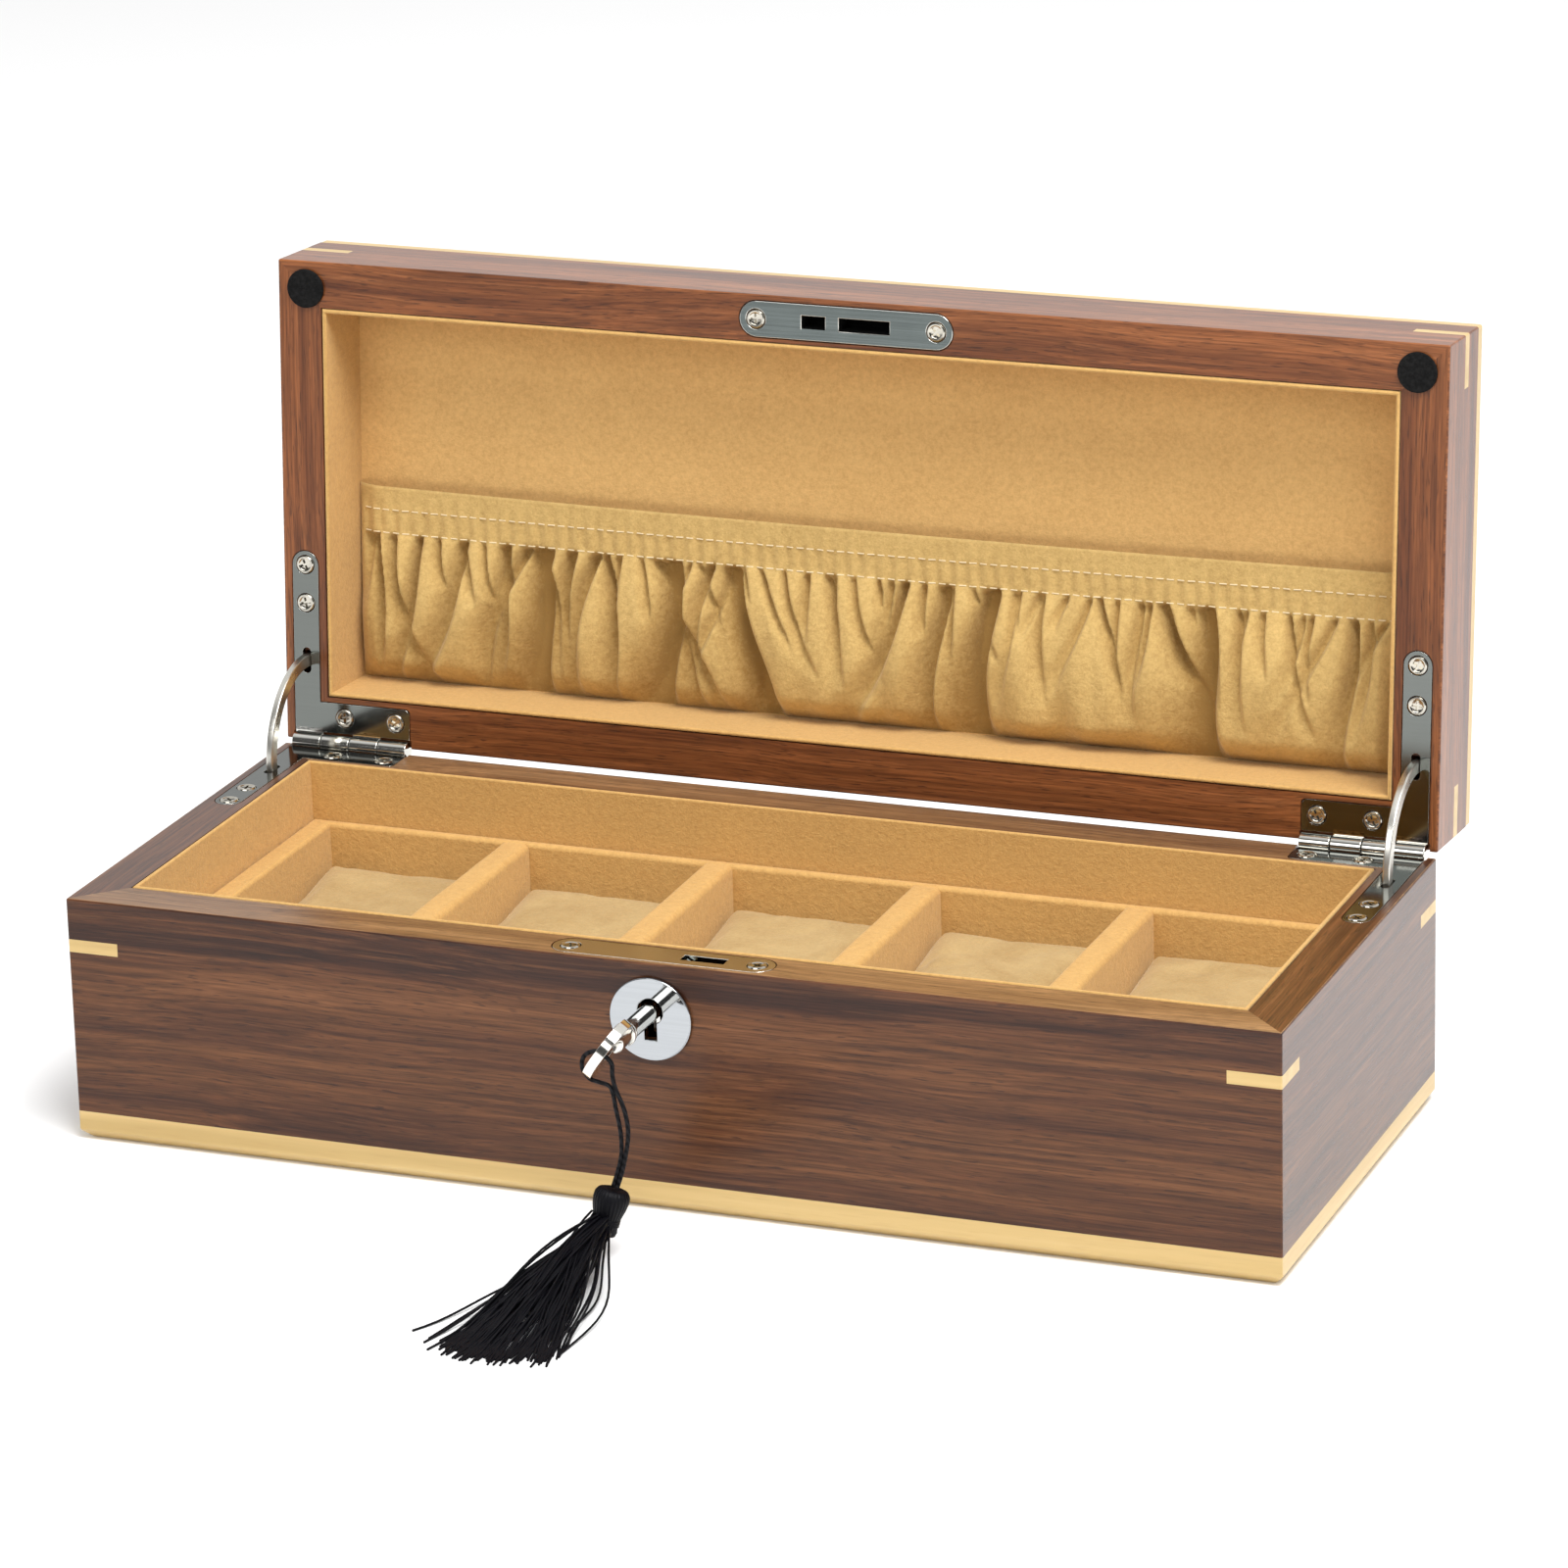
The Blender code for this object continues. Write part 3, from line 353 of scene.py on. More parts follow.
def maple(name, turn=0.0):
    """Pale maple under satin lacquer."""
    maker = Maker(name, roughness=0.38, coat=0.3, coat_roughness=0.15)
    grain = maker.mapping(maker.place, turn=(0, 0, turn))
    bands = maker.noise(maker.mapping(grain, scale=(5, 160, 160)), 1.0, 3.0, 0.6)
    fleck = maker.noise(maker.mapping(grain, scale=(90, 1300, 1300)), 1.0, 2.0, 0.5)
    colour = maker.ramp(bands, ((0.3, (0.52, 0.35, 0.12)), (0.55, (0.62, 0.43, 0.165)),
                                (0.75, (0.68, 0.50, 0.22))))
    colour = maker.mix(maker.map_range(fleck, 0.55, 0.75, 0.0, 0.35), colour, (0.46, 0.28, 0.09))
    maker.bump(fleck, 0.00004, 0.5)
    return maker.paint(colour)


def suede(name, colour, shade, nap=0.14, patch=0.10, painted_crease_shade=0.0):
    """Suede cloth: a fine speckled nap, brushed patches and a soft sheen, and painted shade darkening the
    colour in the creases.
    """
    maker = Maker(name, roughness=0.92, sheen=0.35)
    maker.shader.inputs["Sheen Tint"].default_value = (1.0, 0.86, 0.62, 1)
    maker.shader.inputs["Specular IOR Level"].default_value = 0.15
    speck = maker.noise(maker.place, 1500, 3.0, 0.7)
    tuft = maker.noise(maker.place, 620, 2.0, 0.6)
    brushed = maker.noise(maker.place, 55, 3.0, 0.55, 0.6)
    low = maker.maths("MULTIPLY", maker.map_range(speck, 0.35, 0.7), nap)
    mid = maker.maths("MULTIPLY", maker.map_range(tuft, 0.35, 0.7), nap)
    wide = maker.maths("MULTIPLY", maker.map_range(brushed, 0.35, 0.65), patch)
    share = maker.maths("ADD", maker.maths("ADD", low, mid), wide)
    # painted shade: the colour moves towards the shade colour as the crease attribute, the folds' depth,
    # grows
    if painted_crease_shade:
        crease = maker.add("ShaderNodeAttribute")
        crease.attribute_name = "crease"
        share = maker.maths("ADD", share, maker.maths("MULTIPLY", crease.outputs["Fac"], painted_crease_shade))
    maker.bump(maker.maths("ADD", speck, tuft), 0.00022, 0.9)
    return maker.paint(maker.mix(share, colour, shade))


def metal(name, colour, roughness, brushed=0.0):
    """Plated or brushed metal, with a little unevenness in its gloss."""
    maker = Maker(name, roughness=roughness, metallic=1.0)
    smear = maker.noise(maker.place, 90, 3.0, 0.6)
    lines = maker.noise(maker.mapping(maker.place, scale=(30, 2600, 2600)), 1.0, 2.0, 0.6)
    maker.join(maker.map_range(smear, 0.3, 0.7, 0.9 * roughness, 1.15 * roughness),
               maker.shader.inputs["Roughness"])
    dark = tuple((0.94 - brushed) * c for c in colour)
    return maker.paint(maker.mix(maker.map_range(lines, 0.35, 0.65), dark, colour))


def black(name, colour, roughness, grain, sheen=0.0):
    """Black rubber, felt or thread with a fine grain, and the black given to slot insides as painted shade.
    """
    maker = Maker(name, roughness=roughness, sheen=sheen)
    maker.shader.inputs["Specular IOR Level"].default_value = 0.12
    speck = maker.noise(maker.place, grain, 3.0, 0.7)
    maker.bump(speck, 0.00015, 0.8)
    return maker.paint(maker.mix(maker.map_range(speck, 0.4, 0.7), colour,
                                 tuple(2.6 * c for c in colour)))


def cord_twist(name):
    """Black cord of two plies: a bump that winds round it as it runs down."""
    maker = Maker(name, roughness=0.6)
    maker.shader.inputs["Specular IOR Level"].default_value = 0.15
    wave = maker.add("ShaderNodeTexWave")
    wave.wave_type = "BANDS"
    wave.bands_direction = "DIAGONAL"
    wave.inputs["Scale"].default_value = 260
    maker.join(maker.place, wave.inputs["Vector"])
    maker.bump(wave.outputs["Fac"], 0.0003, 0.9)
    return maker.paint(maker.mix(wave.outputs["Fac"], (0.002, 0.002, 0.003), (0.012, 0.012, 0.014)))


def felt(name, colour):
    maker = Maker(name, roughness=0.95, sheen=0.4)
    fuzz = maker.noise(maker.place, 900, 4.0, 0.7)
    maker.bump(fuzz, 0.0003, 0.8)
    return maker.paint(maker.mix(fuzz, tuple(0.6 * c for c in colour), tuple(1.4 * c for c in colour)))


# ---------------------------------------------------------------- shape helpers
def arc(centre, radius, start, end, steps):
    return [
        (centre[0] + radius * math.cos(a), centre[1] + radius * math.sin(a))
        for a in (start + (end - start) * i / steps for i in range(steps + 1))
    ]


def circle(centre, radius, sides=32):
    return arc(centre, radius, 0, math.tau * (sides - 1) / sides, sides - 1)


def stadium(x_low, x_high, width, steps=12):
    r = width / 2
    return (arc((x_high - r, 0), r, -math.pi / 2, math.pi / 2, steps)
            + arc((x_low + r, 0), r, math.pi / 2, math.pi * 1.5, steps))


def shaped(build):
    """A mesh from a function that fills a bmesh."""
    mesh = bpy.data.meshes.new("shape")
    shape = bmesh.new()
    build(shape)
    shape.to_mesh(mesh)
    shape.free()
    return mesh


def flat_mesh(outlines, thickness, turn=STILL):
    """A flat plate from its outline and its holes' outlines, as one closed body."""
    curve = bpy.data.curves.new("flat", "CURVE")
    curve.dimensions = "2D"
    curve.fill_mode = "BOTH"
    curve.extrude = thickness / 2
    for points in outlines:
        spline = curve.splines.new("POLY")
        spline.points.add(len(points) - 1)
        for point, (x, y) in zip(spline.points, points):
            point.co = (x, y, 0, 1)
        spline.use_cyclic_u = True
    guide = bpy.data.objects.new("flat", curve)
    bpy.context.scene.collection.objects.link(guide)
    mesh = bpy.data.meshes.new_from_object(
        guide.evaluated_get(bpy.context.evaluated_depsgraph_get()))
    bpy.data.objects.remove(guide)
    shape = bmesh.new()
    shape.from_mesh(mesh)
    bmesh.ops.remove_doubles(shape, verts=shape.verts, dist=0.000002)
    bmesh.ops.dissolve_limit(shape, angle_limit=math.radians(1), verts=shape.verts,
                             edges=shape.edges)
    bmesh.ops.recalc_face_normals(shape, faces=shape.faces)
    shape.transform(turn)
    shape.to_mesh(mesh)
    shape.free()
    return mesh


def box_mesh(low, high):
    low, high = Vector(low), Vector(high)
    size = Matrix.Diagonal((*(high - low), 1))
    return shaped(lambda shape: bmesh.ops.create_cube(
        shape, size=1, matrix=Matrix.Translation((low + high) / 2) @ size))


def turned_mesh(profile, steps=40, turn=STILL):
    """A profile of radius and height, spun about z."""
    def build(shape):
        verts = [shape.verts.new((r, 0, z)) for r, z in profile]
        edges = [shape.edges.new(pair) for pair in zip(verts, verts[1:])]
        bmesh.ops.spin(shape, geom=verts + edges, cent=(0, 0, 0), axis=(0, 0, 1),
                       angle=math.tau, steps=steps, use_duplicate=False)
        bmesh.ops.remove_doubles(shape, verts=shape.verts, dist=0.000002)
        bmesh.ops.recalc_face_normals(shape, faces=shape.faces)
        shape.transform(turn)
    return shaped(build)


def rod_mesh(radius, length, round_off, turn=STILL, steps=40, bore=()):
    """A rod along z with rounded ends, and a bore of some radius and depth in its foot."""
    half = length / 2
    rim = [(radius - round_off + x, half - round_off + y)
           for x, y in arc((0, 0), round_off, math.pi / 2, 0, 4)]
    foot = [(r, -z) for r, z in reversed(rim)]
    end = [(0, -half)]
    if bore:
        end = [(bore[0], -half), (bore[0], bore[1] - half), (0, bore[1] - half)]
    return turned_mesh([(0, half)] + rim + foot + end, steps, turn)


def round_edges(mesh, width, segments, chosen=lambda edge: True, angle=25):
    """Rounds the sharp edges that pass a test."""
    shape = bmesh.new()
    shape.from_mesh(mesh)
    edges = [e for e in shape.edges
             if len(e.link_faces) == 2 and e.calc_face_angle(0) > math.radians(angle) and chosen(e)]
    bmesh.ops.bevel(shape, geom=edges, offset=width, segments=segments, profile=0.5,
                    affect="EDGES", clamp_overlap=True)
    shape.to_mesh(mesh)
    shape.free()
    return mesh


def join_meshes(meshes):
    shape = bmesh.new()
    for mesh in meshes:
        shape.from_mesh(mesh)
    joined = bpy.data.meshes.new("joined")
    shape.to_mesh(joined)
    shape.free()
    return joined


def moved(mesh, *turns):
    copy = mesh.copy()
    for turn in turns:
        copy.transform(turn)
    return copy


def add_piece(name, mesh, body, materials, replaced=(), turn=STILL, sharp=30):
    """A visible piece on a CAD body. Its mesh is given before the turn, which places it.

    Flat faces of a hard piece keep flat shading beside their rounded edges.
    """
    piece = bpy.data.objects.new(name, mesh)
    bpy.context.scene.collection.objects.link(piece)
    for material in materials if isinstance(materials, (list, tuple)) else [materials]:
        mesh.materials.append(material)
    mesh.shade_smooth()
    mesh.set_sharp_from_angle(angle=math.radians(sharp))
    piece.matrix_world = turn
    if body:
        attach(piece, body)
    if replaced:
        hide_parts(*replaced)
    if sharp <= 30:
        flatten(piece)
    return piece


def flatten(piece):
    weighted = piece.modifiers.new("weighted", "WEIGHTED_NORMAL")
    weighted.keep_sharp = True
    weighted.weight = 100


def carve(piece, tools, operation="DIFFERENCE"):
    """Applies Booleans with meshes given in the piece's own frame."""
    piece.modifiers.clear()
    guides = []
    for mesh in tools:
        mesh.materials.clear()
        mesh.materials.append(piece.data.materials[0])
        guide = bpy.data.objects.new("guide", mesh)
        bpy.context.scene.collection.objects.link(guide)
        guide.matrix_world = piece.matrix_world
        guides.append(guide)
        modifier = piece.modifiers.new("carve", "BOOLEAN")
        modifier.operation = operation
        modifier.solver = "EXACT"
        modifier.object = guide
    bpy.context.view_layer.update()
    fine = bpy.data.meshes.new_from_object(
        piece.evaluated_get(bpy.context.evaluated_depsgraph_get()))
    piece.modifiers.clear()
    piece.data = fine
    for guide in guides:
        bpy.data.objects.remove(guide)
    fine.set_sharp_from_angle(angle=math.radians(30))
    flatten(piece)


def frame_mesh(outer, inner, low, high):
    """A rectangular frame with mitred corners. Long sides take material 0, ends 1."""
    def build(shape):
        corners = ((-1, -1), (1, -1), (1, 1), (-1, 1))
        rings = [
            [shape.verts.new((sx * w / 2, sy * d / 2, z)) for sx, sy in corners]
            for (w, d), z in ((outer, low), (outer, high), (inner, low), (inner, high))
        ]
        out_low, out_high, in_low, in_high = rings
        for i in range(4):
            j = (i + 1) % 4
            for a, b in ((out_low, out_high), (out_high, in_high), (in_high, in_low),
                         (in_low, out_low)):
                face = shape.faces.new((a[i], a[j], b[j], b[i]))
                face.material_index = i % 2
        bmesh.ops.recalc_face_normals(shape, faces=shape.faces)
    return shaped(build)


def outside(edge):
    """True for an edge on the box's outer faces."""
    return all(
        abs(v.co.x) > WIDTH / 2 - FIT or abs(v.co.y) > DEPTH / 2 - FIT for v in edge.verts
    )


def on_level(edge, height):
    return all(abs(v.co.z - height) < 0.00005 for v in edge.verts)


# ---------------------------------------------------------------- cases
def spline_prism(sx, sy, height, grow=0.0):
    """The triangle of a corner key, running a little past the outer faces."""
    past = 0.001
    leg = SPLINE_LEG + past
    outline = [(sx * past, sy * past), (-sx * leg, sy * past), (sx * past, -sy * leg)]
    place = Matrix.Translation((sx * WIDTH / 2, sy * DEPTH / 2, height))
    return flat_mesh([outline], SPLINE_THICK + grow, place)


def add_splines(prefix, height, body, low, high, turn):
    """Corner keys cut from a solid with the same rounded edges as the case."""
    for corner, sx, sy in CORNERS:
        solid = box_mesh((-WIDTH / 2, -DEPTH / 2, low), (WIDTH / 2, DEPTH / 2, high))
        round_edges(solid, CASE_ROUND, 3, lambda e: not on_level(e, low) and not on_level(e, high))
        piece = add_piece(f"visual_{prefix}_spline_{corner}", solid, body, MAPLE_X,
                          [f"{prefix}_spline_{corner}"], turn)
        carve(piece, [spline_prism(sx, sy, height)], "INTERSECT")


def leaf_outline(side, grow=0.0, near=LEAF_NEAR):
    """The L-shaped hinge leaf, seen from above the closed box."""
    half = LEAF_ARM_HALF + grow
    inner = LEAF_INNER_X - grow
    reach = LEAF_BACK_REACH + grow
    points = [(inner, near), (LEAF_ARM_X + half, near)]
    points += arc((LEAF_ARM_X, LEAF_REACH - LEAF_ARM_HALF), half, 0, math.pi, 16)
    points += [(LEAF_ARM_X - half, reach)]
    points += arc((inner + 0.0015, reach - 0.0015), 0.0015, math.pi / 2, math.pi, 5)
    return [(side * x, HINGE.y - s) for x, s in points]


def hinge_seats(rim, up):
    """Cutters for one case: leaf recesses, barrel notches and stay mortises."""
    tools = []
    deep = LEAF + FIT + 0.001
    for side in (-1, 1):
        level = rim - up * (LEAF + FIT - deep / 2)
        tools.append(flat_mesh([leaf_outline(side, FIT, -0.002)], deep,
                               Matrix.Translation((0, 0, level))))
        middle = Matrix.Translation((side * (BARREL_IN + BARREL_OUT) / 2, HINGE.y, HINGE.z))
        tools.append(rod_mesh(BARREL_R + FIT, BARREL_OUT - BARREL_IN + 4 * FIT, 0.0001,
                              middle @ ALONG_X))
        x, half_x = side * LEAF_ARM_X, STAY_THICK / 2 + FIT
        z_end = rim - up * MORTISE_DEEP
        tools.append(box_mesh((x - half_x, HINGE.y - MORTISE_FAR, min(rim, z_end)),
                              (x + half_x, HINGE.y - MORTISE_NEAR, max(rim, z_end))))
    return tools


def plate_seat(rim, up, slots):
    """Cutters for a lock plate's seat and for what is under its slots."""
    deep = PLATE_THICK + FIT + 0.001
    ends = PLATE_LENGTH / 2 + FIT
    level = Matrix.Translation((0, PLATE_Y, rim - up * (PLATE_THICK + FIT - deep / 2)))
    tools = [flat_mesh([stadium(-ends, ends, PLATE_WIDTH + 2 * FIT)], deep, level)]
    for low_x, high_x in slots:
        far = rim - up * (PLATE_THICK + SLOT_DEEP)
        tools.append(box_mesh((low_x - FIT, PLATE_Y - 0.002, min(rim, far)),
                              (high_x + FIT, PLATE_Y + 0.002, max(rim, far))))
    return tools


def keyhole(grow=0.0):
    radius, half, drop = KEYHOLE_R + grow, KEYHOLE_SLOT / 2 + grow, KEYHOLE_DROP + grow
    meet = math.acos(half / radius)
    return arc((0, 0), radius, -meet, math.pi + meet, 30) + [(-half, -drop), (half, -drop)]


def add_base_case():
    """The four boards as one shell whose grain turns at each mitre."""
    inner = (WIDTH - 2 * WALL, DEPTH - 2 * WALL)
    mesh = frame_mesh((WIDTH, DEPTH), inner, PLINTH_TOP, RIM)
    round_edges(mesh, CASE_ROUND, 3, lambda e: outside(e) and not on_level(e, PLINTH_TOP))
    # painted light: the front and back boards' up-facing top faces take the lighter walnut
    for face in mesh.polygons:
        if face.normal.z > 0.9 and face.material_index == 0:
            face.material_index = 2
    walls = [f"base_wall_{side}" for side in SIDES]
    case = add_piece("visual_base_case", mesh, "base",
                     [WALNUT_X, WALNUT_Y, WALNUT_RIM_LIT], walls)
    tools = hinge_seats(RIM, 1) + plate_seat(RIM, 1, [])
    low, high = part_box("lock_case")
    room = Vector((FIT, FIT, FIT))
    tools.append(box_mesh(low - room, high + room))
    tools.append(flat_mesh([keyhole(0.0004)], 0.016,
                           Matrix.Translation((KEY_X, -DEPTH / 2, KEY_Z)) @ FRONT_ON))
    tools += [spline_prism(sx, sy, BASE_SPLINE_Z) for _, sx, sy in CORNERS]
    carve(case, tools)
    add_splines("base", BASE_SPLINE_Z, "base", PLINTH_TOP, RIM, STILL)


def add_plinth():
    inner = (WIDTH - 2 * PLINTH_WIDTH, DEPTH - 2 * PLINTH_WIDTH)
    mesh = frame_mesh((WIDTH, DEPTH), inner, 0, PLINTH_TOP)
    round_edges(mesh, PLINTH_CHAMFER, 1, lambda e: outside(e) and on_level(e, 0))
    round_edges(mesh, 0.0004, 2, lambda e: outside(e) and not on_level(e, PLINTH_TOP), 35)
    add_piece("visual_plinth", mesh, "base", [MAPLE_X, MAPLE_Y], ["plinth"])


def add_lid_case():
    inner = (WIDTH - 2 * WALL, DEPTH - 2 * WALL)
    high = LID_TOP - EDGING_HEIGHT
    mesh = frame_mesh((WIDTH, DEPTH), inner, LID_RIM, high)
    round_edges(mesh, CASE_ROUND, 3, lambda e: outside(e) and not on_level(e, high))
    walls = [f"lid_wall_{side}" for side in SIDES]
    case = add_piece("visual_lid_case", mesh, "lid", [WALNUT_LID_X, WALNUT_LID_Y],
                     walls, LID_TURN)
    tools = hinge_seats(LID_RIM, -1) + plate_seat(LID_RIM, -1, [STRIKE_SLOT, STRIKE_HOLE])
    tools += [spline_prism(sx, sy, LID_SPLINE_Z) for _, sx, sy in CORNERS]
    carve(case, tools)
    add_splines("lid", LID_SPLINE_Z, "lid", LID_RIM, high, LID_TURN)
    rim = (WIDTH - 2 * EDGING_WIDTH, DEPTH - 2 * EDGING_WIDTH)
    mesh = frame_mesh((WIDTH, DEPTH), rim, high, LID_TOP)
    round_edges(mesh, 0.0008, 3, lambda e: outside(e) and not on_level(e, high))
    add_piece("visual_lid_edging", mesh, "lid", [MAPLE_X, MAPLE_Y], ["lid_edging"],
              LID_TURN)
    x, y = rim[0] / 2, rim[1] / 2
    panel = round_edges(box_mesh((-x, -y, high), (x, y, LID_TOP)), 0.0001, 1)
    add_piece("visual_lid_top", panel, "lid", WALNUT_TOP, ["lid_top_panel"], LID_TURN)


# ---------------------------------------------------------------- linings
def lining_ring(low, high, mouth):
    """Cloth-covered lining boards with a rounded lip at the mouth."""
    outer = (2 * (INNER_X + LINING), 2 * (INNER_Y + LINING))
    mesh = frame_mesh(outer, (2 * INNER_X, 2 * INNER_Y), low, high)
    return round_edges(mesh, 0.00055, 4, lambda e: on_level(e, mouth))


def add_linings():
    high = RIM + LINING_PROUD
    add_piece("visual_base_lining", lining_ring(PLINTH_TOP, high, high), "base",
              SUEDE, ["base_lining"])
    low = LID_RIM - LINING_PROUD
    add_piece("visual_lid_lining", lining_ring(low, CEILING, low), "lid",
              SUEDE, ["lid_lining"], LID_TURN)
    x, y = INNER_X + LINING, INNER_Y + LINING
    panel = box_mesh((-x, -y, CEILING), (x, y, LID_TOP - EDGING_HEIGHT - FIT))
    add_piece("visual_lid_panel", panel, "lid", SUEDE_PANEL, ["lid_lining_panel"],
              LID_TURN)


def soften(mesh, size, amount, seed):
    """Breaks up a cloth-covered edge's straightness with slow, small waves."""
    for vertex in mesh.vertices:
        wave = noise.noise_vector(vertex.co / size + Vector((seed, 0, 0)))
        vertex.co += wave * amount
    return mesh


def add_tray():
    """The tray's frame with its rounded ledge, and the dividers."""
    inner = (2 * (TRAY_X - TRAY_END), 2 * CELL_Y)
    mesh = frame_mesh((2 * TRAY_X, 2 * TRAY_Y), inner, FLOOR_TOP + FIT, TRAY_TOP)
    round_edges(mesh, 0.0013, 4, lambda e: on_level(e, TRAY_TOP))
    add_piece("visual_tray_frame", mesh, "base", SUEDE, ["tray_frame"])
    for index in range(4):
        x = (index - 1.5) * PITCH
        mesh = box_mesh((x - DIVIDER / 2, -CELL_Y, FLOOR_TOP + FIT),
                        (x + DIVIDER / 2, CELL_Y, TRAY_TOP))
        round_edges(mesh, 0.0019, 5,
                    lambda e: on_level(e, TRAY_TOP) and abs(e.verts[0].co.x - e.verts[1].co.x) < FIT)
        shape = bmesh.new()
        shape.from_mesh(mesh)
        long = [e for e in shape.edges if abs(e.verts[0].co.y - e.verts[1].co.y) > CELL_Y]
        bmesh.ops.subdivide_edges(shape, edges=long, cuts=24, use_grid_fill=True)
        shape.to_mesh(mesh)
        shape.free()
        soften(mesh, 0.02, 0.00022, index)
        add_piece(f"visual_divider_{index + 1}", mesh, "base", SUEDE,
                  [f"divider_{index + 1}"], sharp=60)


# ---------------------------------------------------------------- pillows
def pillow_mesh():
    """One pillow, swelled by a cloth simulation from a slightly smaller block."""
    size = Vector((CELL_X - 0.0014, 0.0978, PILLOW_TOP - FLOOR_TOP - 0.0030))
    middle = Vector((0, 0, (FLOOR_TOP + PILLOW_TOP) / 2 - 0.0006))
    mesh = box_mesh(middle - size / 2, middle + size / 2)
    round_edges(mesh, 0.0022, 4)
    guide = bpy.data.objects.new("pillow_guide", mesh)
    bpy.context.scene.collection.objects.link(guide)
    remesh = guide.modifiers.new("remesh", "REMESH")
    remesh.mode = "VOXEL"
    remesh.voxel_size = 0.0026
    guide.data = bpy.data.meshes.new_from_object(
        guide.evaluated_get(bpy.context.evaluated_depsgraph_get()))
    guide.modifiers.clear()
    start = [v.co.copy() for v in guide.data.vertices]
    cloth = guide.modifiers.new("cloth", "CLOTH")
    cloth.settings.use_pressure = True
    cloth.settings.uniform_pressure_force = 4
    cloth.settings.effector_weights.gravity = 0
    cloth.settings.quality = 5
    cloth.settings.mass = 0.2
    for number in range(1, 21):
        bpy.context.scene.frame_set(number)
    done = bpy.data.meshes.new_from_object(
        guide.evaluated_get(bpy.context.evaluated_depsgraph_get()))
    spots = [Vector(v.co) for v in done.vertices]
    guide.modifiers.clear()
    bpy.context.scene.frame_set(1)
    swelled = guide.data.copy()
    bpy.data.objects.remove(guide)
    low = Vector((-CELL_X / 2 + 0.0002, -0.0500, FLOOR_TOP + 0.0002))
    high = Vector((CELL_X / 2 - 0.0002, 0.0500, PILLOW_TOP + 0.0016))
    for vertex, old, spot in zip(swelled.vertices, start, spots):
        step = spot - old
        if step.length > PILLOW_CAP:
            step *= PILLOW_CAP / step.length
        place = old + step
        vertex.co = [min(max(c, a), b) for c, a, b in zip(place, low, high)]
    return swelled


PILLOW_CAP = 0.0020


def add_pillows():
    """Five pillows from the one shape, each with its own dents."""
    swelled = pillow_mesh()
    for index in range(5):
        mesh = swelled.copy()
        x = (index - 2) * PITCH
        for vertex in mesh.vertices:
            spot = vertex.co + Vector((0, 0, 3.0 * index))
            fold = abs(noise.noise(spot / 0.022 + Vector((7, 0, 0))))
            dent = noise.noise(spot / 0.028) * 0.0008 + noise.noise(spot / 0.009) * 0.0003
            dent -= 0.0007 * math.exp(-((fold / 0.06) ** 2))
            crown = max(0.0, vertex.co.z - PILLOW_TOP + 0.008) / 0.008
            vertex.co.z += dent * crown
            vertex.co.x += x
        pillow = add_piece(f"visual_pillow_{index + 1}", mesh, f"pillow_{index + 1}",
                           PILLOW, [f"pillow_{index + 1}"], sharp=180)
        smooth = pillow.modifiers.new("smooth", "SUBSURF")
        smooth.levels = 1
        smooth.render_levels = 1


# ---------------------------------------------------------------- pocket
def pocket_folds():
    """Creases from the stitching down: place, lean, width, depth and how far they run."""
    rng = random.Random(11)
    folds = [(x, lean, 0.0058, 0.0090, 2.4) for x, lean in POCKET_TUCKS]
    x = -INNER_X + 0.003
    while x < INNER_X - 0.003:
        big = rng.random() < 0.30
        folds.append((
            x, rng.uniform(-0.30, 0.30), rng.uniform(0.0020, 0.0030) * (1.4 if big else 1.0),
            rng.uniform(0.0050, 0.0072) if big else rng.uniform(0.0030, 0.0046),
            rng.uniform(1.0, 1.7) if big else rng.uniform(0.25, 0.85),
        ))
        x += rng.uniform(0.0034, 0.0062)
    return folds


def tuck(gap):
    """A fold's section: a long slope down, then a steep side."""
    return math.exp(-((gap / 0.26) ** 2)) if gap > 0 else math.exp(-((gap / 1.2) ** 2))


def pocket_crease(x, below, folds):
    """How deep the folds are at a place. Below is 0 at the lower stitching and 1 at the foot."""
    crease = 0.0
    for place, lean, width, deep, run in folds:
        start = min(1.0, below / 0.045)
        fade = max(0.0, 1 - (below / run) ** 2)
        reach = width * (0.50 + 1.15 * below)
        bend = 0.0016 * math.sin(4.5 * below + 900 * place)
        gap = (x - place - lean * below * POCKET_DROP - bend) / reach
        if -3 < gap < 1:
            fold = deep * start * fade * tuck(gap)
            crease = max(crease, fold) + 0.25 * min(crease, fold)
    return crease


def pocket_offset(x, drop, folds):
    """How far the cloth stands off the lid's panel. Drop is 0 at the mouth and 1 at the foot."""
    below = max(0.0, (drop - HEM_SHARE) / (1 - HEM_SHARE))
    belly = math.sin(min(1.0, below * 0.98 + 0.02) * math.pi * 0.86) ** 0.9 if below > 0 else 0.0
    wide = 0.5 + 0.5 * noise.noise(Vector((x / 0.026, drop * 0.9, 4.0)))
    stand = 0.0046 + 0.0060 * belly * (0.60 + 0.7 * wide)
    ends = min(1.0, (INNER_X - abs(x)) / 0.007)
    stand = 0.0010 + (stand - 0.0010) * ends ** 0.6
    crease = pocket_crease(x, below, folds)
    pucker = 0.00034 * math.sin(x / 0.00070 + 3 * wide) * math.exp(-((drop - HEM_SHARE * 0.75) / 0.10) ** 2)
    ripple = 0.0030 * below ** 0.7 * noise.noise(Vector((x / 0.0085, drop * 1.5, 9.0)))
    stand = max(0.0009, stand - crease + pucker + ripple)
    foot = max(0.0, (below - 0.82) / 0.18)
    return stand * (1 - 0.90 * foot * foot)


def pocket_place(x, drop, folds, extra=0.0):
    """A point on the pocket's outer face, in the closed box's frame."""
    y = DEPTH / 2 - POCKET_REACH + drop * POCKET_DROP
    sag = 0.0009 * math.sin((x / INNER_X + 1) * math.pi / 2) * (1 - drop)
    return Vector((x, y + sag, CEILING - pocket_offset(x, drop, folds) - extra))


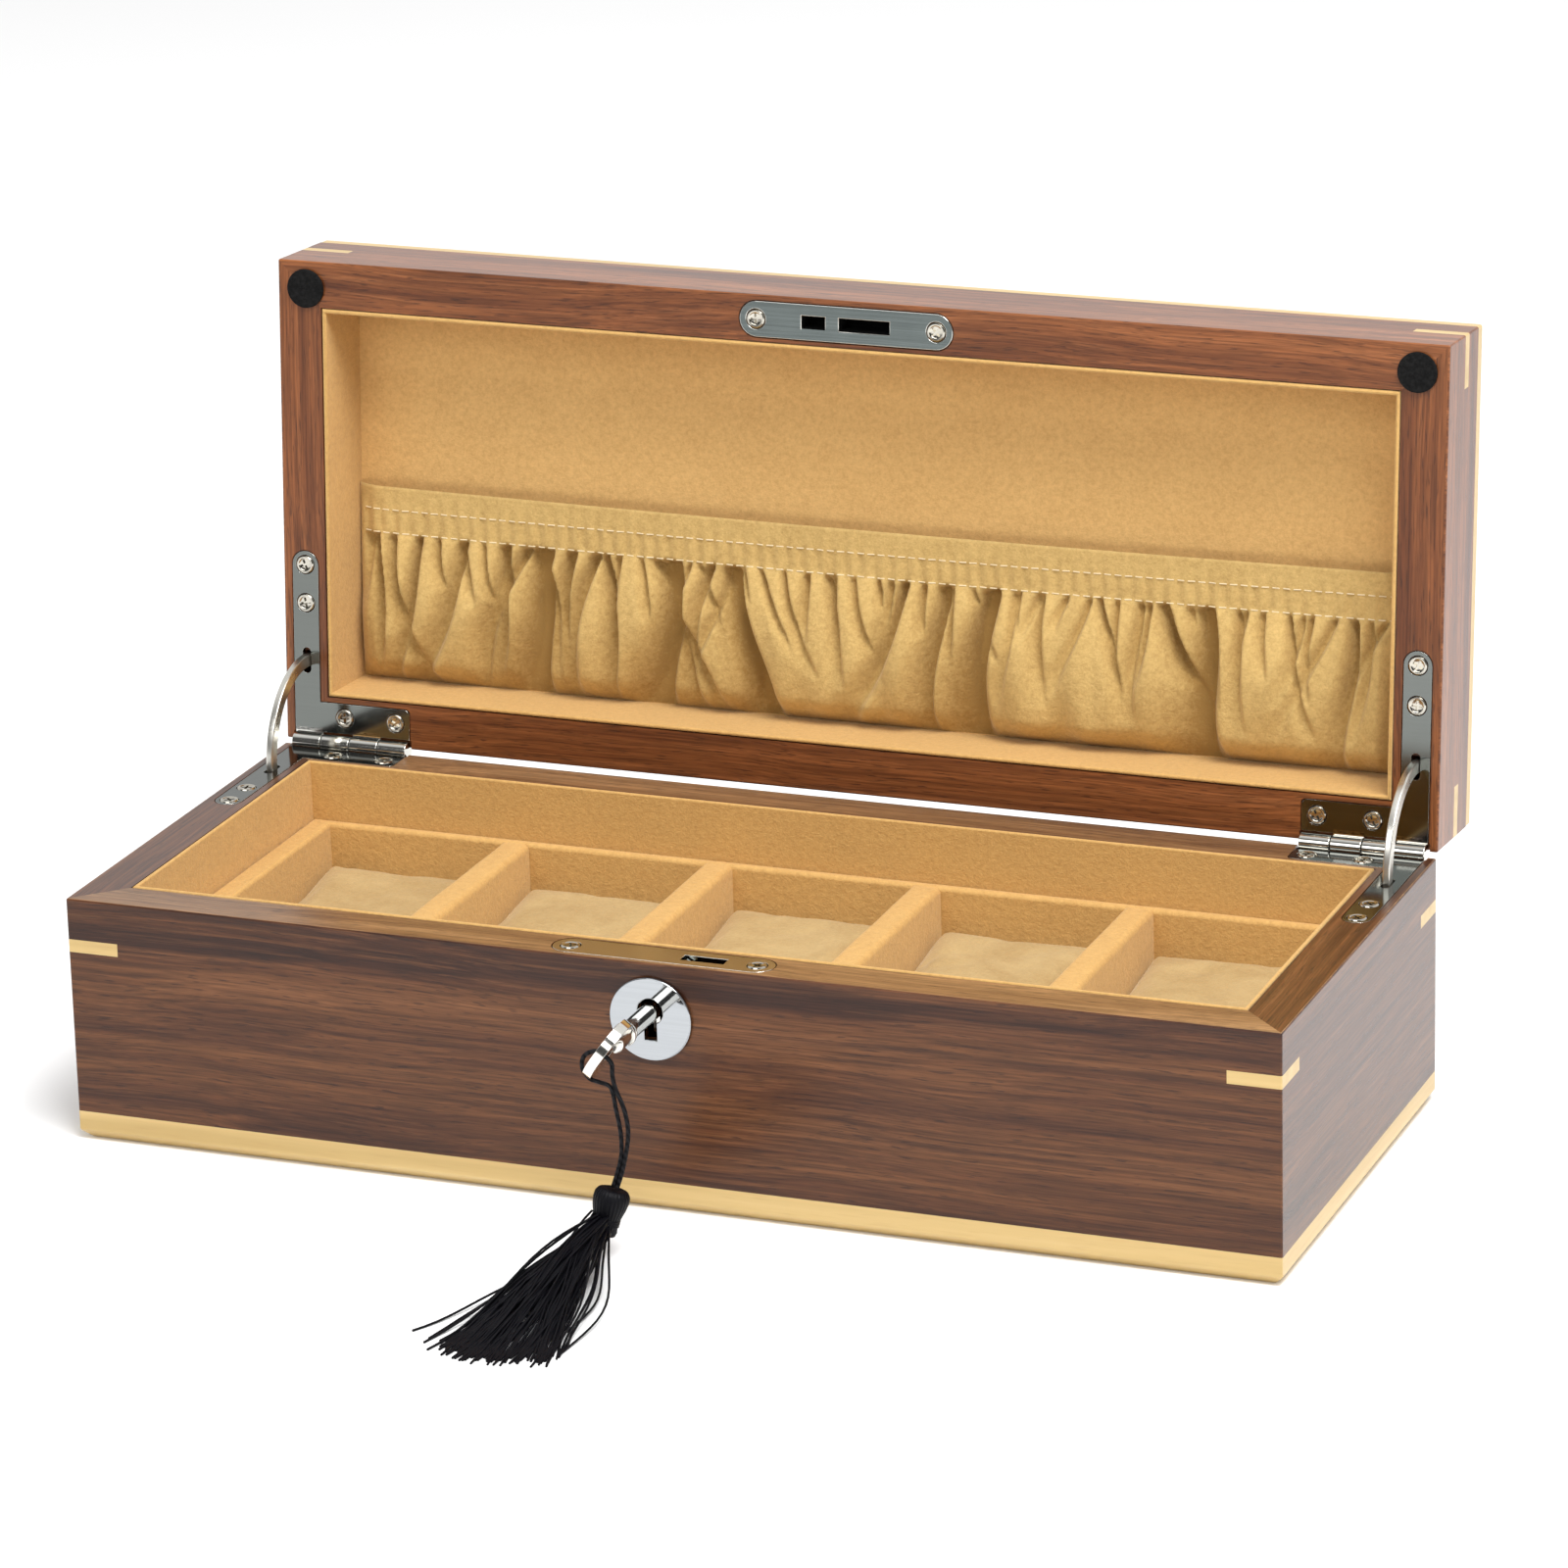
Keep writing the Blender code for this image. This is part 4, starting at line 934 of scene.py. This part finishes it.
def stitch_row(drop, folds, length=0.0021, gap=0.0009, radius=0.00020):
    """A row of short stitches lying on the pocket's cloth."""
    meshes = []
    bead = rod_mesh(radius, length, radius * 0.9, ALONG_X, 8)
    x = -INNER_X + 0.0025
    while x < INNER_X - 0.0025:
        a = pocket_place(x, drop, folds)
        b = pocket_place(x + length, drop, folds)
        turn = (b - a).to_track_quat("X", "Z").to_matrix().to_4x4()
        middle = (a + b) / 2 - Vector((0, 0, radius * 0.6))
        meshes.append(moved(bead, turn, Matrix.Translation(middle)))
        x += length + gap
    return join_meshes(meshes)


def add_pocket():
    """The gathered pocket: a stitched hem over cloth that falls in creases."""
    folds = pocket_folds()
    columns, rows = 620, 64

    def build(shape):
        grid = []
        crease = shape.verts.layers.float.new("crease")
        for row in range(rows + 1):
            drop = row / rows
            below = max(0.0, (drop - HEM_SHARE) / (1 - HEM_SHARE))
            line = []
            for column in range(columns + 1):
                x = (2 * column / columns - 1) * (INNER_X - 0.0002)
                vert = shape.verts.new(pocket_place(x, drop, folds))
                # painted shade: the folds' depth is stored so the cloth's colour darkens in the creases
                vert[crease] = min(1.0, pocket_crease(x, below, folds) / CREASE_DEPTH_FULL_SHADE)
                line.append(vert)
            grid.append(line)
        for low, high in zip(grid, grid[1:]):
            for i in range(columns):
                shape.faces.new((low[i], high[i], high[i + 1], low[i + 1]))
        bmesh.ops.recalc_face_normals(shape, faces=shape.faces)
        if shape.faces[0].normal.z > 0:
            bmesh.ops.reverse_faces(shape, faces=shape.faces)
        lip = [e for e in shape.edges if e.is_boundary and
               all(abs(v.co.y - (DEPTH / 2 - POCKET_REACH)) < 0.0012 for v in e.verts)]
        rolled = bmesh.ops.extrude_edge_only(shape, edges=lip)
        for vert in rolled["geom"]:
            if isinstance(vert, bmesh.types.BMVert):
                vert.co += Vector((0, 0.0004, 0.0009))
    pocket = add_piece("visual_pocket", shaped(build), "lid", POCKET,
                       ["lid_pocket"], LID_TURN, sharp=180)
    rows_of_stitches = join_meshes([
        stitch_row(HEM_SHARE * share, folds) for share in (0.50, 1.0)
    ])
    stitches = add_piece("visual_pocket_stitches", rows_of_stitches, "lid",
                         THREAD, (), LID_TURN)


POCKET_TUCKS = ((-0.0978, 0.02), (-0.0560, -0.06), (-0.0375, 0.14), (0.0372, -0.05),
                (0.0985, 0.07))
POCKET_DROP = 0.0568
# fold depth at which the painted crease shade is full
CREASE_DEPTH_FULL_SHADE = 0.0085
HEM_SHARE = 0.235


# ---------------------------------------------------------------- hinges and plates
def screw_head():
    """A cross-head screw's head about z, its top at height 0.3 mm."""
    profile = [(0, 0.00006), (0.00150, 0.00006), (0.00175, 0.00014), (0.00195, 0.00028),
               (0.00225, 0.00030), (0.00250, 0.00016), (0.00264, -0.00012), (0.00262, -0.00030),
               (0.0016, -0.00125), (0, -0.00125)]
    head = bpy.data.objects.new("head", turned_mesh(profile, 32))
    bpy.context.scene.collection.objects.link(head)
    head.data.materials.append(NICKEL)
    slots = []
    for turn in (0, math.pi / 2):
        slot = box_mesh((-0.00150, -0.00034, -0.0007), (0.00150, 0.00034, 0.001))
        slot.transform(Matrix.Rotation(turn, 4, "Z"))
        slots.append(slot)
    carve(head, slots)
    mesh = head.data
    bpy.data.objects.remove(head)
    return mesh


def screws_at(places, up, rng):
    """Screw heads at places on a rim, each turned its own way."""
    meshes = []
    for place in places:
        turn = Matrix.Rotation(rng.uniform(0, math.pi), 4, "Z")
        flip = STILL if up > 0 else UPSIDE_DOWN
        meshes.append(moved(SCREW, turn, flip, Matrix.Translation(place)))
    return join_meshes(meshes)


def knuckle(x_low, x_high, side, up):
    """A barrel knuckle with the short web that runs into its leaf."""
    length = x_high - x_low - FIT
    middle = side * (x_low + x_high) / 2
    barrel = rod_mesh(BARREL_R, length, 0.00022,
                      Matrix.Translation((middle, HINGE.y, HINGE.z)) @ ALONG_X)
    rim = RIM if up > 0 else LID_RIM
    low, high = sorted((rim, rim - up * LEAF))
    web = box_mesh((middle - length / 2, HINGE.y - LEAF_NEAR - 0.001, low),
                   (middle + length / 2, HINGE.y - 0.0012, high))
    return [barrel, web]


def add_leaf(name, side, up, parity, body, turn):
    """One quadrant hinge leaf with its knuckles, let into a rim."""
    slot = [(side * (LEAF_ARM_X + across), HINGE.y - STAY_MIDDLE - along)
            for along, across in stadium(-STAY_HALF, STAY_HALF, STAY_THICK + 2 * FIT)]
    holes = [circle((side * x, HINGE.y - s), 0.00285) for x, s in LEAF_SCREWS]
    rim = RIM if up > 0 else LID_RIM
    place = Matrix.Translation((0, 0, rim - up * LEAF / 2))
    plate = flat_mesh([leaf_outline(side), slot, *holes], LEAF, place)
    round_edges(plate, 0.00042, 3, lambda e: on_level(e, rim))
    meshes = [plate]
    plate_faces = len(plate.polygons)
    step = (BARREL_OUT - BARREL_IN) / KNUCKLES
    for index in range(parity, KNUCKLES, 2):
        meshes += knuckle(BARREL_OUT - (index + 1) * step, BARREL_OUT - index * step, side, up)
    mesh = join_meshes(meshes)
    # painted reflection: the leaf's flat faces take a much darker copy of the nickel for the dark they
    # reflect; edges and knuckles keep the bright nickel
    for face in mesh.polygons:
        flat = face.index < plate_faces and abs(face.normal.z) > 0.99
        face.material_index = 1 if flat else 0
    add_piece(f"visual_{name}", mesh, body, [NICKEL, LEAF_NICKEL_DARK_REFLECTION], [name], turn)
    places = [(side * x, HINGE.y - s, rim) for x, s in LEAF_SCREWS]
    add_piece(f"visual_{name}_screws", screws_at(places, up, RNG), body, NICKEL_WARM,
              (), turn)


def add_stay(name, side):
    """The curved strip that slides through both leaves."""
    joint = JOINTS[f"stay_{name}_turn"]
    sweep = math.radians(55)
    lean = math.radians(joint["range_deg"][0])
    inner, outer = STAY_MIDDLE - 0.00175, STAY_MIDDLE + 0.00175
    band = arc((0, 0), outer, -sweep, sweep, 48) + arc((0, 0), inner, sweep, -sweep, 48)
    side_on = Matrix(((0, 0, -1, 0), (-1, 0, 0, 0), (0, 1, 0, 0), (0, 0, 0, 1)))
    mesh = round_edges(flat_mesh([band], STAY_THICK, side_on), 0.0004, 3,
                       lambda e: abs(e.verts[0].co.x - e.verts[1].co.x) < 0.00001)
    place = Matrix.Translation((side * LEAF_ARM_X, *HINGE.yz)) @ Matrix.Rotation(lean, 4, "X")
    add_piece(f"visual_stay_{name}", mesh, f"stay_{name}", SATIN_NICKEL,
              [f"lid_stay_{name}"], place)


def add_hinges():
    for side, name in ((-1, "left"), (1, "right")):
        add_leaf(f"hinge_base_leaf_{name}", side, 1, 1, "base", STILL)
        add_leaf(f"hinge_lid_leaf_{name}", side, -1, 0, "lid", LID_TURN)
        add_stay(name, side)


def well_mesh(x_low, x_high):
    """A thin open box under a plate's slot, its mouth at height 0, black as painted shade in the slot."""
    half, wall, deep = SLOT_WIDTH / 2, 0.00015, SLOT_DEEP - FIT
    middle = Matrix.Translation(((x_low + x_high) / 2, 0, 0))
    inner = (x_high - x_low, 2 * half)
    outer = (inner[0] + 2 * wall, inner[1] + 2 * wall)
    sides = frame_mesh(outer, inner, -deep, -0.0001)
    for face in sides.polygons:
        face.material_index = 0
    foot = box_mesh((-outer[0] / 2, -outer[1] / 2, -deep - wall), (outer[0] / 2, outer[1] / 2, -deep))
    return moved(join_meshes([sides, foot]), middle)


def add_plate(name, slots, rim, up, body, material, screws, turn, edge):
    """A round-ended plate with slots, and its two screws."""
    outline = stadium(-PLATE_LENGTH / 2, PLATE_LENGTH / 2, PLATE_WIDTH, 20)
    half = SLOT_WIDTH / 2
    holes = [[(a, -half), (b, -half), (b, half), (a, half)] for a, b in slots]
    holes += [circle((side * PLATE_SCREW_X, 0), 0.00285) for side in (-1, 1)]
    place = Matrix.Translation((0, PLATE_Y, rim - up * PLATE_THICK / 2))
    mesh = round_edges(flat_mesh([outline, *holes], PLATE_THICK, place), edge, 3,
                       lambda e: on_level(e, rim))
    for face in mesh.polygons:
        face.material_index = 0 if abs(face.normal.z) > 0.99 else 1
    add_piece(f"visual_{name}", mesh, body, [material, NICKEL], [name], turn)
    # black wells under the slots: painted shade inside the slots
    if up < 0:
        under = Matrix.Translation((0, PLATE_Y, rim + PLATE_THICK))
        wells = join_meshes([moved(well_mesh(*slot), UPSIDE_DOWN, under) for slot in slots])
        add_piece(f"visual_{name}_wells", wells, body, SLOT_SHADE, (), turn)
    for side, label in ((-1, "left"), (1, "right")):
        spot = (side * PLATE_SCREW_X, PLATE_Y, rim)
        add_piece(f"visual_{screws}_{label}", screws_at([spot], up, RNG), body,
                  NICKEL_WARM, [f"{screws}_{label}"], turn)


def add_bumpers():
    for side, name in ((-1, "left"), (1, "right")):
        x, y = BUMPER_PLACE
        place = Matrix.Translation((side * x, y, LID_RIM - FIT / 2 - 0.00045))
        add_piece(f"visual_bumper_{name}", rod_mesh(BUMPER_R, 0.0010, 0.00035, place, 56),
                  "lid", BUMPER, [f"bumper_{name}"], LID_TURN)


# ---------------------------------------------------------------- escutcheon and key
def add_escutcheon():
    lift = KEY_Z - ESCUTCHEON_Z
    hole = [(x, z + lift) for x, z in keyhole()]
    y = -DEPTH / 2 - FIT - ESCUTCHEON_THICK / 2
    place = Matrix.Translation((KEY_X, y, ESCUTCHEON_Z)) @ FRONT_ON
    mesh = flat_mesh([circle((0, 0), ESCUTCHEON_R, 96), hole], ESCUTCHEON_THICK, place)
    front = y - ESCUTCHEON_THICK / 2
    round_edges(mesh, 0.00035, 4, lambda e: all(abs(v.co.y - front) < 0.00005 for v in e.verts))
    add_piece("visual_escutcheon", mesh, "base", CHROME, ["escutcheon"])


def add_key():
    """Shaft with its collars, a bit inside the lock and a flat oval bow."""
    tip, inside = BOW_Y + 0.004, -0.0603
    length = inside - tip
    meshes = [rod_mesh(SHAFT_R, length, 0.0003,
                       Matrix.Translation((KEY_X, (tip + inside) / 2, KEY_Z)) @ FRONT_ON,
                       bore=(KEY_BORE_R, KEY_BORE_DEEP))]
    for back, radius, long in ((0.0112, 0.0032, 0.0012), (0.0128, 0.0029, 0.0010)):
        meshes.append(rod_mesh(radius, long, 0.0004,
                               Matrix.Translation((KEY_X, BOW_Y + back, KEY_Z)) @ FRONT_ON))
    oval = [(x * 0.0090, y * 0.0085) for x, y in circle((0, 0), 1, 72)]
    bow = flat_mesh([oval, circle((0, -0.0028), 0.0019, 32)], 0.0026)
    round_edges(bow, 0.00115, 5)
    place = Matrix.Translation((KEY_X, BOW_Y, KEY_Z))
    meshes.append(moved(bow, Matrix.Rotation(math.pi / 2 + BOW_TURN, 4, "Y"), place))
    meshes.append(round_edges(box_mesh((KEY_X - 0.001, -0.0659, KEY_Z - 0.0072),
                                       (KEY_X + 0.001, -0.0615, KEY_Z - 0.0019)), 0.0002, 2))
    add_piece("visual_key", join_meshes(meshes), "key", KEY_METAL, ["key"])


# ---------------------------------------------------------------- tassel
def smooth_route(points, per_span):
    """Points on a smooth curve through a route's own points."""
    ends = [Vector(points[0]) * 2 - Vector(points[1])]
    ends += [Vector(p) for p in points]
    ends += [Vector(points[-1]) * 2 - Vector(points[-2])]
    route = []
    for a, b, c, d in zip(ends, ends[1:], ends[2:], ends[3:]):
        for step in range(per_span):
            t = step / per_span
            route.append(0.5 * (2 * b + (c - a) * t + (2 * a - 5 * b + 4 * c - d) * t * t
                                + (3 * b - a - 3 * c + d) * t ** 3))
    return route + [ends[-2]]


def tube_mesh(routes, radius, sides):
    """Round tubes with closed ends along one or more routes."""
    curve = bpy.data.curves.new("tube", "CURVE")
    curve.dimensions = "3D"
    curve.bevel_depth = radius
    curve.bevel_resolution = sides
    curve.use_fill_caps = True
    for route in routes:
        spline = curve.splines.new("POLY")
        spline.points.add(len(route) - 1)
        for point, place in zip(spline.points, route):
            point.co = (*place, 1)
    guide = bpy.data.objects.new("tube", curve)
    bpy.context.scene.collection.objects.link(guide)
    mesh = bpy.data.meshes.new_from_object(
        guide.evaluated_get(bpy.context.evaluated_depsgraph_get()))
    bpy.data.objects.remove(guide)
    return mesh


def strand_route(side):
    """One strand: out of the bow's hole on its own side, round the bow's edge and down."""
    down = Vector((-math.sin(BOW_TURN), 0, -math.cos(BOW_TURN)))
    across = Vector((math.cos(BOW_TURN), 0, -math.sin(BOW_TURN))) * side
    hole = Vector((KEY_X, -0.1015, KEY_Z))
    points = [hole + down * (LOOP_MIDDLE - LOOP_R)]
    for degrees in LOOP_TURNS[side]:
        angle = math.radians(degrees)
        ring = across * math.sin(angle) - down * math.cos(angle)
        points.append(hole + down * LOOP_MIDDLE + ring * LOOP_R + across * side * 0.0007
                      + Vector((0, 0.0010 * degrees / 180, 0)))
    for x, y, z in CORD_ROUTE:
        apart = side * (0.00062 + 0.0006 * math.sin(math.pi * min(1.0, (0.0462 - z) / 0.016)))
        points.append(Vector((x + apart, y, z)))
    return smooth_route(points, 6)


CORD_ROUTE = (
    (0.0008, -0.1004, 0.0462),
    (0.0026, -0.1005, 0.0405),
    (0.0036, -0.1006, 0.0345),
    (0.0032, -0.1006, 0.0285),
    (0.0018, -0.1004, 0.0230),
    (0.0004, -0.1003, 0.0189),
)
LOOP_MIDDLE = 0.0047
LOOP_R = 0.0044
LOOP_TURNS = {1: (35, 75), -1: (45, 90, 135, 180, 215)}
STRAND_R = 0.00058
KNOT_TOP = Vector((0.0000, -0.1003, 0.0183))
KNOT_FOOT = Vector((-0.0026, -0.1030, 0.0064))


def knot_mesh():
    """The wrapped head: a ribbed cap of threads with three turns of tying below it."""
    height = (KNOT_TOP - KNOT_FOOT).length
    shape_points = ((0.0, 0.92), (0.35, 0.97), (0.60, 1.0), (0.84, 0.97), (0.98, 0.88),
                    (1.0, 0.76), (0.93, 0.60), (0.82, 0.46), (0.74, 0.34), (0.72, 0.22),
                    (0.76, 0.10), (0.70, 0.02), (0.0, 0.0))
    profile = [(0.0046 * r, (z - 0.5) * height) for r, z in shape_points]
    mesh = turned_mesh(profile, 168)
    for vertex in mesh.vertices:
        angle = math.atan2(vertex.co.y, vertex.co.x)
        radius = vertex.co.xy.length
        rib = 1 + 0.045 * abs(math.sin(14 * angle + vertex.co.z / 0.004)) * min(1, radius / 0.002)
        vertex.co.x *= rib
        vertex.co.y *= rib
    turns = []
    for i in range(97):
        angle = i / 96 * 4 * math.tau
        turns.append(Vector((0.0035 * math.cos(angle), 0.0035 * math.sin(angle),
                             (0.22 + 0.16 * i / 96 - 0.5) * height)))
    lean = (KNOT_TOP - KNOT_FOOT).to_track_quat("Z", "Y").to_matrix().to_4x4()
    place = Matrix.Translation((KNOT_TOP + KNOT_FOOT) / 2) @ lean
    return moved(join_meshes([mesh, tube_mesh([turns], 0.00032, 2)]), place)


def skirt_thread(rng, angle, length, height, loose=0.0):
    """One thread from under the head, down to the surface and forward along it."""
    lean = rng.uniform(-1, 1)
    start = SKIRT_ROOT + Vector((0.0026 * lean, rng.uniform(-0.0015, 0.0012),
                                 rng.uniform(-0.0016, 0.0034)))
    ahead = Vector((math.sin(angle), -math.cos(angle), 0))
    across = Vector((math.cos(angle), math.sin(angle), 0))
    bow, wave = rng.uniform(-0.0022, 0.0022) + loose, rng.uniform(0, math.tau)
    points = []
    steps = 16
    for i in range(steps + 1):
        t = i / steps
        spread = t ** 0.92
        place = start + ahead * (length * spread)
        place += across * (bow * math.sin(math.pi * t) + 0.0006 * math.sin(9 * t + wave))
        settle = (1 - t) ** 1.7
        place.z = THREAD_R * 1.1 + (start.z - THREAD_R) * settle + height * math.sin(
            math.pi * min(1.0, 0.12 + t)) ** 0.8 * (1 - 0.72 * t)
        points.append(place)
    return points


def skirt_mesh():
    """Loose threads fanned forward, with a few strays at the sides."""
    rng = random.Random(5)
    routes = []
    for _ in range(150):
        share = rng.random()
        angle = math.radians(-17.5 + 29.5 * share)
        length = 0.0675 + 0.0045 * math.sin(math.pi * share) + rng.uniform(-0.0055, 0.0015)
        routes.append(skirt_thread(rng, angle, length, rng.uniform(0.0, 0.0058)))
    for degrees, length, loose in ((-25, 0.0655, 0.002), (12, 0.062, 0.005), (13, 0.058, 0.003),
                                   (12, 0.050, 0.004), (10, 0.066, -0.002)):
        routes.append(skirt_thread(rng, math.radians(degrees), length, 0.0004, loose))
    return tube_mesh(routes, THREAD_R, 1)


THREAD_R = 0.00033
SKIRT_ROOT = Vector((-0.0024, -0.1030, 0.0072))


def add_tassel():
    add_piece("visual_tassel_skirt", skirt_mesh(), "tassel",
                      TASSEL, ["tassel_skirt"], sharp=80)
    head = add_piece("visual_tassel_head", knot_mesh(), "tassel", TASSEL,
                     ["tassel_head"], sharp=60)
    strands = []
    for side, name in ((-1, "left"), (1, "right")):
        route = strand_route(side)
        strand = add_piece(f"visual_strand_{name}", tube_mesh([route], STRAND_R, 3), None,
                           CORD, ["tassel_cord"] if side > 0 else (), sharp=80)
        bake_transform(strand)
        strands.append(strand)


# ---------------------------------------------------------------- build
CORNERS = (("front_left", -1, -1), ("front_right", 1, -1), ("back_left", -1, 1),
           ("back_right", 1, 1))
SIDES = ("front", "right", "back", "left")
CASE_ROUND = 0.0005
QUARTER = math.pi / 2
RNG = random.Random(3)

WALNUT_X = walnut("walnut_front", BROWN_TONES, shift=(0.31, 0.02, 0.013))
WALNUT_Y = walnut("walnut_side", BROWN_TONES, QUARTER, (0.7, 0.4, 0.21))
WALNUT_RIM_LIT = walnut("walnut_rim_painted_light", RIM_LIT_TONES, shift=(0.9, 0.11, 0.3))
WALNUT_LID_X = walnut("walnut_lid_front", RED_TONES, shift=(1.3, 0.37, 0.48))
WALNUT_LID_Y = walnut("walnut_lid_side", RED_TONES, QUARTER, (1.9, 0.8, 0.66))
WALNUT_TOP = walnut("walnut_lid_top", BROWN_TONES, shift=(2.6, 1.2, 0.9))
MAPLE_X = maple("maple_long")
MAPLE_Y = maple("maple_end", QUARTER)
SUEDE = suede("suede_lining", (0.645, 0.395, 0.140), (0.40, 0.215, 0.066), 0.26, 0.07)
SUEDE_PANEL = suede("suede_lid_panel", (0.76, 0.480, 0.188), (0.46, 0.250, 0.080), 0.28, 0.09)
# the pocket cloth has painted shade in its creases
POCKET = suede("pocket_cloth", (0.67, 0.465, 0.180), (0.34, 0.200, 0.060), 0.26, painted_crease_shade=0.85)
PILLOW = suede("pillow_cloth", (0.505, 0.365, 0.172), (0.330, 0.205, 0.078), 0.18, 0.42)
THREAD = suede("stitch_thread", (0.80, 0.68, 0.45), (0.70, 0.58, 0.36))
NICKEL = metal("polished_nickel", (0.70, 0.69, 0.64), 0.09)
# a darker copy of the nickel for the leaves' flat faces: painted dark reflection
LEAF_NICKEL_DARK_REFLECTION = metal("leaf_nickel_painted_dark_reflection", (0.155, 0.165, 0.155), 0.10)
SATIN_NICKEL = metal("satin_nickel", (0.72, 0.70, 0.64), 0.28)
NICKEL_WARM = metal("screw_nickel", (0.56, 0.53, 0.46), 0.14)
CHROME = metal("mirror_chrome", (0.44, 0.46, 0.48), 0.05)
KEY_METAL = metal("key_nickel", (0.84, 0.82, 0.76), 0.10)
STEEL = metal("brushed_steel", (0.17, 0.195, 0.19), 0.24, brushed=0.18)
LOCK_STEEL = metal("polished_lock_plate", (0.50, 0.445, 0.40), 0.17)
# black for the insides of the plate slots and the lock case: painted shade
SLOT_SHADE = black("painted_slot_shade_black", (0.003, 0.003, 0.003), 0.9, 700)
BUMPER = black("bumper_felt", (0.005, 0.005, 0.005), 0.9, 900)
TASSEL = black("tassel_thread", (0.002, 0.002, 0.003), 0.40, 2400)
CORD = cord_twist("tassel_cord")
SCREW = screw_head()

add_camera()
add_world()
add_floor()
add_area("key_light", (0.9, -0.7, 2.2), (0, 0, 0.05), (1.3, 1.3), 68)
add_area("front_fill", (-0.2, -2.2, 1.5), (0, 0, 0.10), (1.9, 1.1), 21)
bpy.context.scene.view_settings.view_transform = "Standard"

add_tassel()
add_base_case()
add_plinth()
add_lid_case()
add_linings()
add_tray()
add_pillows()
add_pocket()
add_hinges()
add_plate("lock_plate", [LOCK_SLOT], RIM, 1, "base", LOCK_STEEL, "lock_plate_screw", STILL,
          0.00012)
add_plate("strike_plate", [STRIKE_HOLE, STRIKE_SLOT], LID_RIM, -1, "lid", STEEL,
          "strike_plate_screw", LID_TURN, 0.00036)
add_bumpers()
add_escutcheon()
add_key()

PLAIN_NODES = {
    "felt_underside": felt("underside_felt", (0.10, 0.07, 0.05)),
    "floor_panel": felt("pressed_board", (0.45, 0.32, 0.20)),
    "tray_floor": SUEDE,
    # the lock case is black as painted shade seen through the lock plate's slot
    "lock_case": SLOT_SHADE,
    "lock_hook": STEEL,
    "hinge_pin_left": NICKEL,
    "hinge_pin_right": NICKEL,
}
for node, material in PLAIN_NODES.items():
    NODES[node].data.materials.clear()
    NODES[node].data.materials.append(material)
